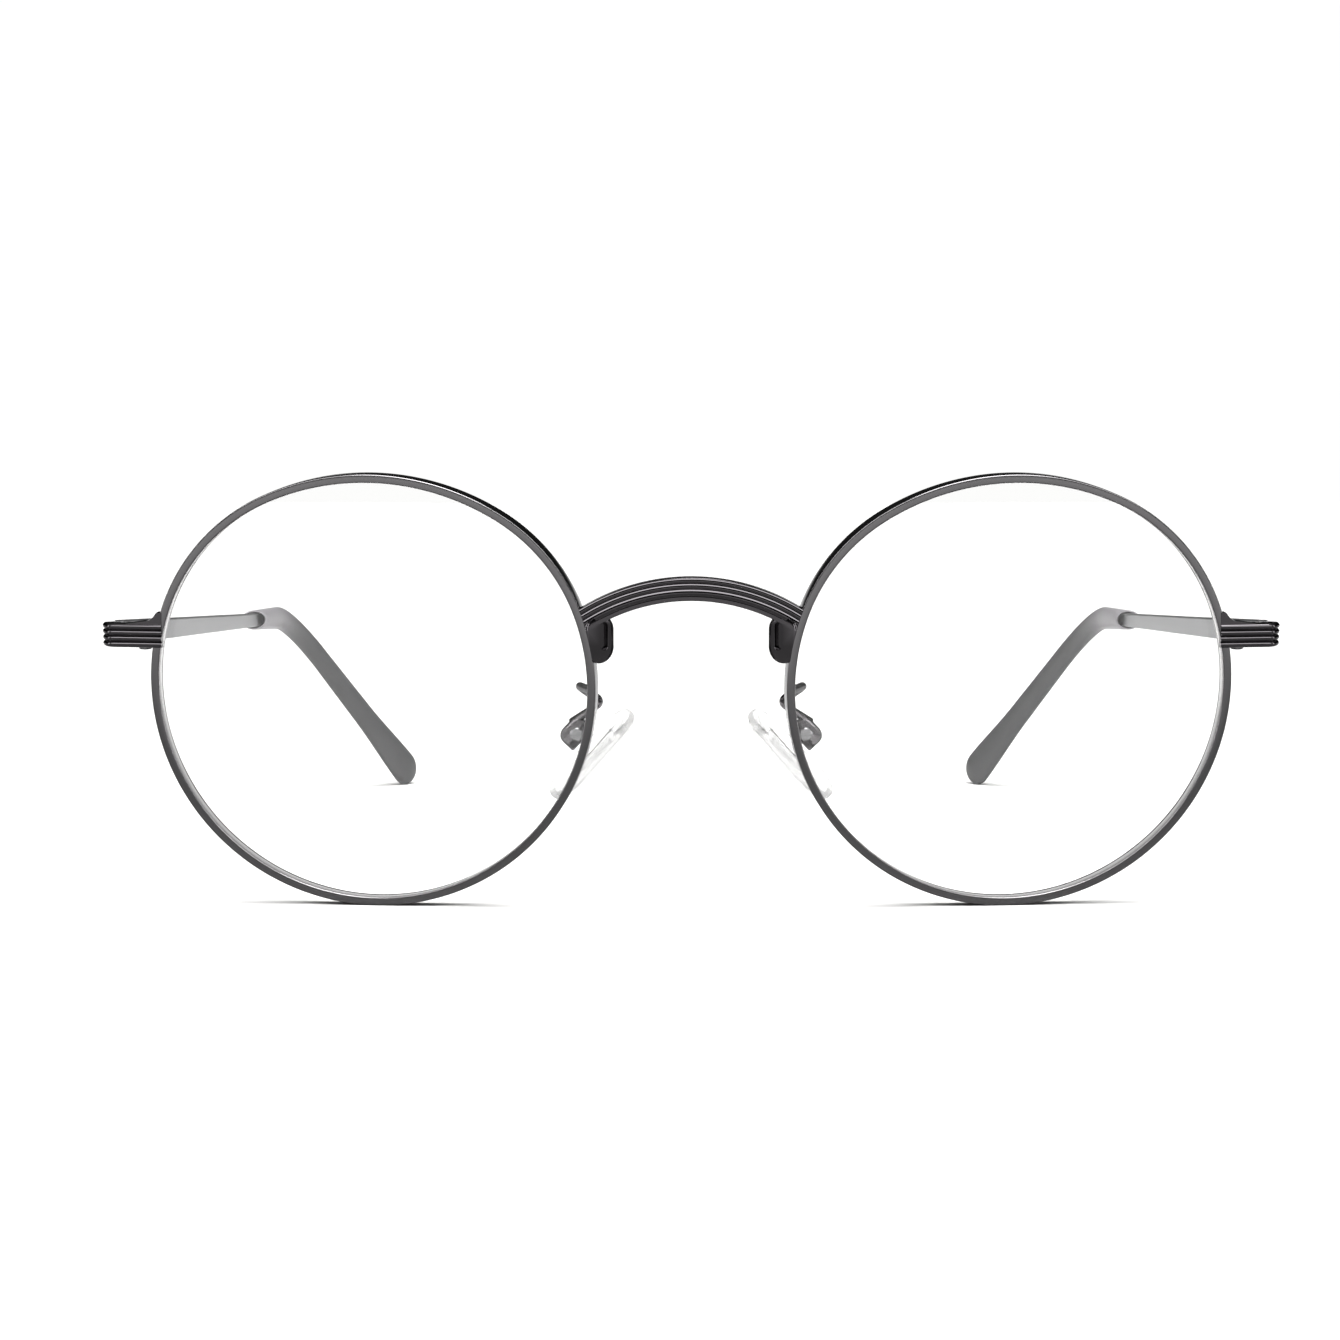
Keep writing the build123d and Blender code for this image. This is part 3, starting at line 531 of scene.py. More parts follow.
def ribbed_bar_tree() -> ShapeTree:
    """The tree that runs a flat bar with a row of rounded ribs on one face along a path."""
    tree = ShapeTree("ribbed_bar", {"Rib Count": 4, "Rib Pitch": 0.76, "Rib Bulge": 0.28, "Base": 1.12})
    wiring, steps = tree.wiring, RIB_STEPS
    last = wiring.math("MULTIPLY", tree.size("Rib Count"), steps)
    total = wiring.node("GeometryNodeCurvePrimitiveCircle", Resolution=wiring.math("ADD", last, 3.0))
    index = wiring.node("GeometryNodeInputIndex").outputs[0]
    half = wiring.math("MULTIPLY", wiring.math("MULTIPLY", tree.size("Rib Count"), tree.size("Rib Pitch")), 0.5)
    place = wiring.math("DIVIDE", index, float(steps))
    rise = wiring.math("SUBTRACT", wiring.math("MULTIPLY", place, tree.size("Rib Pitch")), half)
    wave = wiring.math("ABSOLUTE", wiring.math("SINE", wiring.math("MULTIPLY", place, pi)))
    bulge = wiring.math("MULTIPLY", wiring.math("POWER", wave, RIB_FULLNESS), tree.size("Rib Bulge"))
    on_ribs = wiring.math("LESS_THAN", index, wiring.math("ADD", last, 0.5))
    first_back = wiring.math("LESS_THAN", index, wiring.math("ADD", last, 1.5))
    across = wiring.math("MULTIPLY", on_ribs, wiring.math("ADD", bulge, tree.size("Base")))
    back_side = wiring.math("SUBTRACT", wiring.math("MULTIPLY", first_back, 2.0), 1.0)
    back_rise = wiring.math("MULTIPLY", half, back_side)
    on_back = wiring.math("SUBTRACT", 1.0, on_ribs)
    height = wiring.math("ADD", wiring.math("MULTIPLY", on_ribs, rise),
                         wiring.math("MULTIPLY", on_back, back_rise))
    spot = wiring.node("ShaderNodeCombineXYZ", X=across, Y=height)
    section = wiring.node("GeometryNodeSetPosition", Geometry=total.outputs[0], Position=spot.outputs[0])
    level = wiring.node("GeometryNodeSetCurveNormal", {"mode": "Z_UP"}, Curve=tree.size("Geometry"))
    bar = wiring.node("GeometryNodeCurveToMesh", Curve=level.outputs[0], Profile_Curve=section.outputs[0],
                      Fill_Caps=True)
    tree.end(bar.outputs[0])
    return tree


def slotted_screws_tree() -> ShapeTree:
    """The tree that sets a domed, slotted screw head on every point."""
    tree = ShapeTree("slotted_screws", {"Head Radius": 1.0, "Head Height": 0.45, "Dome": 0.12,
                                        "Slot Width": 0.3, "Slot Depth": 0.25})
    wiring = tree.wiring
    head = wiring.node("GeometryNodeMeshCylinder", {"fill_type": "NGON"}, Vertices=SCREW_SIDES, Side_Segments=1,
                       Radius=tree.size("Head Radius"), Depth=tree.size("Head Height"))
    ring = wiring.node("GeometryNodeMeshCylinder", {"fill_type": "NGON"}, Vertices=SCREW_SIDES, Side_Segments=1,
                       Radius=wiring.math("MULTIPLY", tree.size("Head Radius"), DOME_SHARE),
                       Depth=tree.size("Dome"))
    half = wiring.math("MULTIPLY", tree.size("Head Height"), 0.5)
    half_dome = wiring.math("MULTIPLY", tree.size("Dome"), 0.5)
    raised = wiring.node("ShaderNodeCombineXYZ", Z=wiring.math("ADD", half, half_dome))
    cap = wiring.node("GeometryNodeTransform", Geometry=ring.outputs[0], Translation=raised.outputs[0])
    both = wiring.node("GeometryNodeJoinGeometry")
    wiring.feed(both.inputs[0], head.outputs[0])
    wiring.feed(both.inputs[0], cap.outputs[0])
    hull = wiring.node("GeometryNodeConvexHull", Geometry=both.outputs[0])
    length = wiring.math("MULTIPLY", tree.size("Head Radius"), SLOT_REACH)
    slot_size = wiring.node("ShaderNodeCombineXYZ", X=length, Y=tree.size("Slot Width"),
                            Z=wiring.math("MULTIPLY", tree.size("Slot Depth"), 2.0))
    slot = wiring.node("GeometryNodeMeshCube", Size=slot_size.outputs[0])
    top = wiring.node("ShaderNodeCombineXYZ", Z=wiring.math("ADD", half, tree.size("Dome")))
    slot_up = wiring.node("GeometryNodeTransform", Geometry=slot.outputs[0], Translation=top.outputs[0])
    milled = wiring.node("GeometryNodeMeshBoolean", {"operation": "DIFFERENCE"})
    wiring.feed(milled.inputs[0], hull.outputs[0])
    wiring.feed(milled.inputs[1], slot_up.outputs[0])
    turn = wiring.node("GeometryNodeInputNamedAttribute", {"data_type": "FLOAT_VECTOR"}, Name="turn")
    grade = wiring.node("GeometryNodeInputNamedAttribute", {"data_type": "FLOAT"}, Name="grade")
    screws = wiring.node("GeometryNodeInstanceOnPoints", Points=tree.size("Geometry"),
                         Instance=milled.outputs[0], Rotation=turn.outputs[0], Scale=grade.outputs[0])
    tree.end(screws.outputs[0])
    return tree


# ------------------------------------------------------------------ shared effects


def effect_group(name: str, inputs: dict[str, float], outputs: dict[str, str]) -> tuple[Wiring, Node]:
    """Starts a shader node group.

    Args:
        name: the group's name.
        inputs: its number inputs and their usual values.
        outputs: its outputs and their socket types.

    Returns:
        The group's wiring and its input node.
    """
    group = bpy.data.node_groups.new(name, "ShaderNodeTree")
    for label, value in inputs.items():
        group.interface.new_socket(label, in_out="INPUT", socket_type="NodeSocketFloat").default_value = value
    for label, kind in outputs.items():
        group.interface.new_socket(label, in_out="OUTPUT", socket_type=kind)
    wiring = Wiring(group)
    return wiring, wiring.node("NodeGroupInput")


def object_noise(wiring: Wiring, scale: object, detail: float, stretch: Triple = (1, 1, 1)) -> NodeSocket:
    """Noise on Object coordinates.

    Args:
        wiring: the tree to add to.
        scale: its fineness per metre, a value or a socket.
        detail: its octaves.
        stretch: scale along each axis.

    Returns:
        The noise's value.
    """
    where = wiring.node("ShaderNodeTexCoord").outputs["Object"]
    mapped = wiring.node("ShaderNodeMapping", Vector=where, Scale=stretch)
    return wiring.node("ShaderNodeTexNoise", Vector=mapped.outputs[0], Scale=scale, Detail=detail).outputs[0]


def handling_group() -> NodeTree:
    """The group for fine polish marks and fingers' smears: roughness and a height."""
    wiring, inlet = effect_group("handling", {"Base": 0.15, "Smear": 0.05, "Marks": 0.4},
                                 {"Roughness": "NodeSocketFloat", "Height": "NodeSocketFloat"})
    smear = wiring.math("SUBTRACT", object_noise(wiring, 90.0, 3.0), 0.5)
    marks = object_noise(wiring, 2200.0, 2.0, (1.0, 0.25, 1.0))
    rough = wiring.math("ADD", inlet.outputs["Base"], wiring.math("MULTIPLY", smear, inlet.outputs["Smear"]))
    outlet = wiring.node("NodeGroupOutput")
    wiring.feed(outlet.inputs["Roughness"], rough)
    wiring.feed(outlet.inputs["Height"], wiring.math("MULTIPLY", marks, inlet.outputs["Marks"]))
    return wiring.tree


def grain_group() -> NodeTree:
    """The group for a moulded surface's fine grain: a shade factor and a height."""
    wiring, inlet = effect_group("moulded_grain", {"Scale": 1500.0, "Depth": 0.5, "Shade": 0.15},
                                 {"Shade": "NodeSocketFloat", "Height": "NodeSocketFloat"})
    fine = object_noise(wiring, inlet.outputs["Scale"], 4.0)
    broad = object_noise(wiring, 60.0, 2.0)
    shade = wiring.math("MULTIPLY", wiring.math("ADD", wiring.math("MULTIPLY", fine, 0.4), broad),
                        inlet.outputs["Shade"])
    outlet = wiring.node("NodeGroupOutput")
    wiring.feed(outlet.inputs["Shade"], shade)
    wiring.feed(outlet.inputs["Height"], wiring.math("MULTIPLY", fine, inlet.outputs["Depth"]))
    return wiring.tree


HANDLING = handling_group()
GRAIN = grain_group()


def new_material(name: str) -> tuple[Material, Wiring, Node]:
    """A material with an empty tree, a Principled shader and its output."""
    material = bpy.data.materials.new(name)
    material.use_nodes = True
    wiring = Wiring(material.node_tree)
    shader = wiring.node("ShaderNodeBsdfPrincipled")
    outlet = wiring.node("ShaderNodeOutputMaterial")
    wiring.feed(outlet.inputs["Surface"], shader.outputs[0])
    return material, wiring, shader


def blend(wiring: Wiring, factor: NodeSocket, first: object, second: object) -> NodeSocket:
    """A mix of two colours, each a value or a socket."""
    mix = wiring.node("ShaderNodeMix", {"data_type": "RGBA"})
    for place, value in ((0, factor), (6, first), (7, second)):
        wiring.feed(mix.inputs[place], (*value, 1) if isinstance(value, tuple) else value)
    return mix.outputs[2]


def placed_group(wiring: Wiring, group: NodeTree, **values: float) -> Node:
    """A shared effect placed in a material with its own values."""
    node = wiring.tree.nodes.new("ShaderNodeGroup")
    node.node_tree = group
    for name, value in values.items():
        node.inputs[name].default_value = value
    return node


def bumped(wiring: Wiring, shader: Node, height: NodeSocket, distance: float) -> None:
    """Feeds a height to a shader's normal through a bump, with its depth in metres."""
    bump = wiring.node("ShaderNodeBump", Strength=0.5, Distance=distance, Height=height)
    wiring.feed(shader.inputs["Normal"], bump.outputs[0])


# ------------------------------------------------------------------ finishes
@dataclass(frozen=True)
class Plating:
    """Dark plated or plain metal with polish marks."""

    name: str
    slot: str
    dark: Colour
    light: Colour
    roughness: float
    smear: float
    patch_scale: float = 45.0
    stretch: Triple = (1.0, 1.0, 1.0)

    def make(self) -> Material:
        """Builds the material."""
        material, wiring, shader = new_material(self.name)
        patches = object_noise(wiring, self.patch_scale, 3.0, self.stretch)
        wiring.feed(shader.inputs["Base Color"], blend(wiring, patches, self.dark, self.light))
        marks = placed_group(wiring, HANDLING, Base=self.roughness, Smear=self.smear, Marks=0.4)
        wiring.feed(shader.inputs["Roughness"], marks.outputs["Roughness"])
        shader.inputs["Metallic"].default_value = 1.0
        bumped(wiring, shader, marks.outputs["Height"], 4e-6)
        return material


@dataclass(frozen=True)
class Moulding:
    """Moulded satin plastic with a fine grain."""

    name: str
    slot: str
    colour: Colour
    worn: Colour
    # the painted sheen's colour toward the mouth, standing in for the grazing reflection on the satin plastic
    mouth: Colour
    fade: tuple[float, float]
    roughness: float

    def make(self) -> Material:
        """Builds the material, which pales toward the mouth: a painted sheen that stands in for the satin
        plastic's grazing reflection there.
        """
        material, wiring, shader = new_material(self.name)
        grain = placed_group(wiring, GRAIN, Scale=2600.0, Depth=0.5, Shade=0.8)
        tint = blend(wiring, grain.outputs["Shade"], self.colour, self.worn)
        along = wiring.node("ShaderNodeSeparateXYZ", Vector=wiring.node("ShaderNodeTexCoord").outputs["Object"])
        # painted sheen: its share runs from 1 at the first fade value to 0 at the second, along the tip's Y
        mouth_sheen_share = wiring.node("ShaderNodeMapRange", {"interpolation_type": "SMOOTHSTEP"}, Value=along.outputs["Y"])
        for name, value in zip(("From Min", "From Max", "To Min", "To Max"), (*self.fade, 1.0, 0.0)):
            mouth_sheen_share.inputs[name].default_value = value
        wiring.feed(shader.inputs["Base Color"], blend(wiring, mouth_sheen_share.outputs[0], tint, self.mouth))
        marks = placed_group(wiring, HANDLING, Base=self.roughness, Smear=0.12, Marks=0.2)
        wiring.feed(shader.inputs["Roughness"], marks.outputs["Roughness"])
        bumped(wiring, shader, grain.outputs["Height"], 8e-6)
        return material


@dataclass(frozen=True)
class ClearStock:
    """Clear lens or pad material."""

    name: str
    slot: str
    colour: Colour
    roughness: float
    ior: float
    smear: float
    presence: float = 1.0
    paler: float = 1.015
    shadow_passed: float = 0.94

    def make(self) -> Material:
        """Builds the material; it lets most of the light through to the surface below."""
        material, wiring, shader = new_material(self.name)
        shade = object_noise(wiring, 50.0, 2.0)
        paler = tuple(min(1.0, part * self.paler) for part in self.colour)
        wiring.feed(shader.inputs["Base Color"], blend(wiring, shade, self.colour, paler))
        marks = placed_group(wiring, HANDLING, Base=self.roughness, Smear=self.smear, Marks=0.1)
        wiring.feed(shader.inputs["Roughness"], marks.outputs["Roughness"])
        shader.inputs["Transmission Weight"].default_value = 1.0
        shader.inputs["IOR"].default_value = self.ior
        in_shadow = wiring.node("ShaderNodeLightPath").outputs["Is Shadow Ray"]
        let_by = wiring.math("SUBTRACT", 1.0, wiring.math("MULTIPLY", in_shadow, self.shadow_passed))
        wiring.feed(shader.inputs["Alpha"], wiring.math("MULTIPLY", let_by, self.presence))
        return material


class Finish(Enum):
    """The finishes that the pieces are made in."""

    GUNMETAL = Plating("gunmetal_plating", "frame_metal", (0.20, 0.195, 0.20), (0.26, 0.252, 0.258),
                       0.13, 0.06)
    # painted shade: a darker copy of the same gunmetal frame metal, for the bridge, endpieces, pad arms, pad
    # boxes, locks and front hinge halves; it stands in for the dark reflections on their ribs and curves
    SHADED_GUNMETAL = Plating("shaded_gunmetal_plating", "frame_metal", (0.085, 0.08, 0.085), (0.125, 0.118, 0.124),
                        0.10, 0.05)
    SATIN = Plating("satin_steel", "temple_metal", (0.40, 0.40, 0.41), (0.48, 0.48, 0.485), 0.36, 0.10, 400.0,
                    (1.0, 0.04, 1.0))
    TURNED = Plating("turned_steel", "screw_steel", (0.15, 0.15, 0.155), (0.22, 0.22, 0.225), 0.22, 0.08)
    # the tip's third colour is its painted sheen toward the mouth, and the pair after it is where that sheen
    # fades out along Y
    TIP = Moulding("tip_plastic", "tip_plastic", (0.040, 0.040, 0.042), (0.062, 0.062, 0.064),
                   (0.25, 0.24, 0.255), (0.037, 0.055), 0.42)
    LENS = ClearStock("clear_lens", "lens", (0.985, 0.99, 0.985), 0.0, 1.45, 0.0)
    PAD = ClearStock("clear_pad", "pad_clear", (0.985, 0.99, 0.99), 0.04, 1.3, 0.03, 0.6)


MATERIALS: dict[Finish, Material] = {finish: finish.value.make() for finish in Finish}


def fit(obj: Object, finish: Finish, body: str, *nodes: str) -> Object:
    """Dresses a piece, sets it on its body, and lets it stand for its nodes.

    Args:
        obj: the finished piece.
        finish: what it is made of.
        body: the body that it moves with.
        nodes: the nodes that it stands for.

    Returns:
        The same piece.
    """
    obj.data.materials.clear()
    obj.data.materials.append(MATERIALS[finish])
    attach(obj, body)
    if nodes:
        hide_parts(*nodes)
    log.info("%s: %d faces, %s", obj.name, len(obj.data.polygons), finish.name.lower())
    return obj


def carry(node: str, finish: Finish) -> None:
    """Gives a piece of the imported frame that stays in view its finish."""
    obj = frame["nodes"][node]
    obj.data.materials.clear()
    obj.data.materials.append(MATERIALS[finish])
    log.info("%s: carried over, %s", node, finish.name.lower())


@dataclass
class Assembly:
    """What one side's sub-assemblies share."""

    side: Side

    def named(self, what: str) -> str:
        """A name that starts with the side's word."""
        return f"{self.side.word}_{what}"


# ------------------------------------------------------------------ front
@dataclass
class Eyewire(Assembly):
    """A rim and the lens in it."""

    edge: float = 0.17
    lens_curve: float = 190.0
    lens_thickness: float = 1.8
    bite: float = 0.2
    lens_rings: int = 14
    first_share: float = 0.02

    def build(self, tree: ShapeTree) -> None:
        """Makes and dresses the rim and its lens."""
        wire = self.make_rim(tree)
        fit(wire, Finish.GUNMETAL, Body.FRONT.of(self.side), self.named("rim"))
        lens = self.make_lens()
        fit(lens, Finish.LENS, Body.FRONT.of(self.side), self.named("lens"))

    def make_rim(self, tree: ShapeTree) -> Object:
        """Runs the rim's bar round its outline."""
        path = path_object(LAYOUT.outline(LAYOUT.wall / 2, 1.0), True)
        mesh = tree.grow(path, MATERIALS[Finish.GUNMETAL], Wall=LAYOUT.wall, Depth=LAYOUT.depth,
                         Edge_Radius=self.edge)
        mesh.transform(LAYOUT.rim_seat @ Matrix.Translation((0, 0, -LAYOUT.depth / 2)))
        to_frame(mesh, self.side)
        return make_object(self.named("eyewire"), mesh)

    def make_lens(self) -> Object:
        """A meniscus whose edge sits in the rim."""
        middle = -LAYOUT.depth / 2
        fall = self.lens_curve - sqrt(self.lens_curve ** 2 - LAYOUT.eye_radius ** 2)
        crown = middle + self.lens_thickness / 2 + fall
        outline = LAYOUT.outline(self.bite)

        def ring(share: float, behind: float) -> Ring:
            """One ring of a lens surface, a share of the way out."""
            points = []
            for point in outline:
                spot = point * share
                sag = self.lens_curve - sqrt(self.lens_curve ** 2 - spot.length_squared)
                points.append(LAYOUT.rim_seat @ Vector((spot.x, spot.y, crown - sag - behind)))
            return points

        shares = [self.first_share] + [i / self.lens_rings for i in range(1, self.lens_rings + 1)]
        form = bmesh.new()
        front = [ring(share, 0.0) for share in shares]
        rear = [ring(share, self.lens_thickness) for share in reversed(shares)]
        skin(form, front + rear)
        return piece_from(self.named("clear_lens"), form, self.side, 50.0)


@dataclass
class Bridge:
    """The ribbed arch, its two slotted tabs and the brazing beads."""

    arch: float = 23.3
    height: float = 11.9
    ribs: tuple[float, ...] = (0.66, 0.70, 0.78)
    strip: float = 0.60
    depth: float = 2.0
    bulge: float = 0.16
    recess: float = 0.18
    tab_height: float = 5.8
    tab_width: float = 3.8
    tab_bite: float = 0.9
    tab_thickness: float = 0.8
    tab_turn: float = 36.0
    tab_drop: float = 5.9
    slot_width: float = 1.0
    slot_height: float = 3.2
    slot_depth: float = 0.45
    slot_shift: float = 0.45
    slot_rise: float = 0.3
    bead: float = 0.75
    bead_drop: float = 3.6
    bead_shape: Triple = (0.8, 1.25, 1.15)
    ease: float = 0.4
    tab_ease: float = 0.22
    groove: float = 2.4
    rib_steps: int = 8
    arch_steps: int = 72
    cutter_inset: float = 0.04

    def build(self) -> None:
        """Makes and dresses the bridge."""
        form = bmesh.new()
        for add in (self.add_arch, self.add_tabs, self.add_beads):
            part = bmesh.new()
            add(part)
            trimmed = bpy.data.meshes.new("trimmed")
            part = cut(part, self.rim_cutter())
            part.to_mesh(trimmed)
            part.free()
            form.from_mesh(trimmed)
            bpy.data.meshes.remove(trimmed)
        bridge = piece_from("ribbed_bridge", form, Side.LEFT, 40.0)
        fit(bridge, Finish.SHADED_GUNMETAL, Body.FRONT.value, "bridge")

    def add_arch(self, form: BMesh) -> None:
        """Adds the arched bar, from past one rim's wall to past the other's."""
        low = -(self.strip + sum(self.ribs)) / 2
        edge = low + self.strip
        deep = -self.recess * self.groove
        ridge = [(low + 0.06, -self.recess), (edge - 0.12, -self.recess), (edge - 0.07, deep), (edge, deep)]
        at = edge
        for rib in reversed(self.ribs):
            for i in range(0 if at == edge else 1, self.rib_steps + 1):
                share = i / self.rib_steps
                ridge.append((at + rib * share, self.bulge * sin(pi * share) ** 0.8))
            at += rib
        corner = [(self.ease * (1 - cos(radians(turn))), self.ease * (1 - sin(radians(turn))) - self.depth)
                  for turn in range(0, 91, 18)]
        ridge += [(at - drawn, rise) for drawn, rise in corner]
        ridge += [(low + drawn, rise) for drawn, rise in reversed(corner)]
        ridge.append((low, -self.recess - 0.06))
        centre = Vector((0, self.height - self.arch, 0))
        half = degrees(asin((LAYOUT.lens_centre.x - LAYOUT.eye_radius * LAYOUT.nose_shape) / self.arch))
        rings = []
        for i in range(self.arch_steps + 1):
            way = heading(90 - half + 2 * half * i / self.arch_steps)
            rings.append([LAYOUT.bridge_seat @ (centre + way * (self.arch + rise) + Vector((0, 0, forward)))
                          for rise, forward in ridge])
        skin(form, rings)

    def rim_cutter(self) -> BMesh:
        """The two rims' whole outlines as blocks that reach behind and before the bar."""
        cutter = bmesh.new()
        for sign in (1, -1):
            rings = []
            for depth in (-4 * LAYOUT.depth, 4 * LAYOUT.depth):
                ring = [LAYOUT.rim_seat @ (point + Vector((0, 0, depth)))
                        for point in LAYOUT.outline(LAYOUT.wall - self.cutter_inset)]
                rings.append([Vector((point.x * sign, point.y, point.z)) for point in ring])
            skin(cutter, rings)
        return cutter

    def add_tabs(self, form: BMesh) -> None:
        """Adds the slotted tab beside each rim."""
        lift = self.height - self.tab_drop
        turn = radians(self.tab_turn)
        side = (LAYOUT.lens_centre.x - LAYOUT.reach(lift, LAYOUT.wall, False) * cos(radians(LAYOUT.face_form))
                - LAYOUT.depth * sin(radians(LAYOUT.face_form)))
        tab = LAYOUT.bridge_seat @ seat(Vector((side + self.tab_bite - self.tab_width / 2 * cos(turn), lift,
                                                -self.depth / 2)),
                                        Vector((cos(turn), 0, sin(turn))), Vector((-sin(turn), 0, cos(turn))))
        top, ease = self.tab_thickness, self.tab_ease

        def plate(inset: float) -> Outline:
            """The tab's outline, drawn in all round."""
            return stadium(self.tab_width - inset, self.tab_height - inset)

        def slot(wider: float) -> Outline:
            """The slot's outline, let out all round."""
            return [(x - self.slot_shift, y + self.slot_rise)
                    for x, y in stadium(self.slot_width + wider, self.slot_height + wider)]

        rows = [(plate(0.5), 0.0), (plate(0.0), 0.2), (plate(0.0), top - ease),
                (plate(ease * 0.6), top - ease * 0.3), (plate(ease * 2), top),
                (slot(0.12), top), (slot(0.0), top - 0.08), (slot(0.0), top - self.slot_depth)]
        for sign in (1, -1):
            flip = Matrix.Scale(sign, 4, Vector((1, 0, 0)))
            skin(form, [placed(outline, flip @ tab, rise) for outline, rise in rows])

    def add_beads(self, form: BMesh) -> None:
        """Adds the brazing bead where the arch's top meets each rim."""
        lift = self.height - self.bead_drop
        bead_at = LAYOUT.rim_seat @ Vector((-LAYOUT.reach(lift, LAYOUT.wall, False), lift, -self.depth / 2))
        for sign in (1, -1):
            where = (Matrix.Scale(sign, 4, Vector((1, 0, 0))) @ Matrix.Translation(bead_at)
                     @ Matrix.Diagonal((*self.bead_shape, 1)))
            bmesh.ops.create_icosphere(form, subdivisions=4, radius=self.bead, matrix=where)


@dataclass
class Endpiece(Assembly):
    """The ribbed bar from a rim round the corner to the hinge, with its closing block."""

    lift: float = 5.63
    ribs: int = 4
    pitch: float = 0.70
    thickness: float = 1.4
    bulge: float = 0.28
    proud: float = 0.30
    overlap: float = 0.95
    corner: float = 1.9
    web_length: float = 3.8
    web_height: float = 1.4
    web_knee: tuple[float, float] = (1.5, 0.36)
    web_depth: float = 1.2
    corner_steps: int = 8
    leg_steps: int = 6

    def build(self, tree: ShapeTree) -> None:
        """Makes and dresses the endpiece and the closing block."""
        base = self.thickness - self.bulge
        mesh = tree.grow(path_object(self.path(), False), MATERIALS[Finish.SHADED_GUNMETAL], Rib_Count=self.ribs,
                         Rib_Pitch=self.pitch, Rib_Bulge=self.bulge, Base=base)
        form = bmesh.new()
        form.from_mesh(mesh)
        bpy.data.meshes.remove(mesh)
        # the tree works flat on its path: its x is the rim's side way, its y the rim's depth
        flat = Matrix(((1, 0, 0, 0), (0, 0, 1, self.lift), (0, -1, 0, 0), (0, 0, 0, 1)))
        bmesh.ops.transform(form, matrix=LAYOUT.rim_seat @ flat, verts=form.verts)
        self.slope_leg(form)
        self.add_web(form)
        bar = piece_from(self.named("ribbed_endpiece"), form, self.side, 40.0)
        fit(bar, Finish.SHADED_GUNMETAL, Body.FRONT.of(self.side), self.named("endpiece"))
        for half in ("lock_upper", "lock_lower"):
            carry(self.named(half), Finish.SHADED_GUNMETAL)

    @property
    def corner_at(self) -> Vector:
        """The corner's centre in the rim's plane: sideways, and forward."""
        form = radians(LAYOUT.face_form)
        forward = self.proud - self.corner
        along = (LAYOUT.width / 2 - self.corner - LAYOUT.lens_centre.x - forward * sin(form)) / cos(form)
        return Vector((along, forward, 0))

    def path(self) -> Ring:
        """The inner face's line: along the rim's face, round the corner, and straight back."""
        centre, inner = self.corner_at, self.corner - self.thickness
        turn = 90 - LAYOUT.face_form
        start = LAYOUT.reach(self.lift, LAYOUT.wall) - self.overlap
        points = [Vector((start, -(centre.y + inner), 0))]
        for i in range(self.corner_steps + 1):
            way = heading(90 - turn * i / self.corner_steps)
            points.append(Vector((centre.x + way.x * inner, -(centre.y + way.y * inner), 0)))
        ahead = heading(90 - turn)
        back = Vector((ahead.y, ahead.x, 0))
        hinge = LAYOUT.rim_seat.inverted() @ LAYOUT.hinge
        length = (Vector((hinge.x, -hinge.z, 0)) - points[-1]).dot(back)
        corner_end = points[-1]
        points += [corner_end + back * length * i / self.leg_steps for i in range(1, self.leg_steps + 1)]
        return points

    def slope_leg(self, form: BMesh) -> None:
        """Bends the side leg down to the temple's slope, and ends it square to that."""
        fall_from = LAYOUT.rim_seat @ Vector((self.corner_at.x, self.lift, self.corner_at.y))
        hinge = LAYOUT.hinge
        # unbent, the leg is square to the leaning front, so it rises towards the back
        rise, fall = tan(radians(LAYOUT.lean)), tan(radians(LAYOUT.slope))
        for vert in form.verts:
            behind = vert.co.y - fall_from.y
            if vert.co.x > fall_from.x and behind > 0:
                vert.co.z -= (rise + fall) * behind
                over = vert.co.z - (hinge.z - fall * (vert.co.y - hinge.y))
                vert.co.y += over * fall * min(1.0, behind / (hinge.y - fall_from.y))

    def add_web(self, form: BMesh) -> None:
        """Adds the hollow-sided brazing wedge on top, against the rim."""
        low = self.lift + self.ribs * self.pitch / 2
        foot = LAYOUT.reach(low, LAYOUT.wall)
        out, knee = self.web_knee
        # a hollow down from the rim, then a long flat slope
        profile = [(foot + out * share, low + knee + (self.web_height - knee) * (1 - share) ** 2.4)
                   for share in (0, 0.1, 0.2, 0.32, 0.46, 0.62, 0.8, 1.0)]
        profile.append((foot + self.web_length, low))
        outline = [Vector((x, y, 0)) for x, y in
                   [(foot - 0.6, low + self.web_height), *profile, (foot + self.web_length, low - 0.3),
                    (foot - 0.6, low - 0.3)]]
        behind = self.proud - self.thickness
        rings = [[LAYOUT.rim_seat @ (point + Vector((0, 0, behind + rise))) for point in outline]
                 for rise in (0.0, self.web_depth)]
        skin(form, rings)


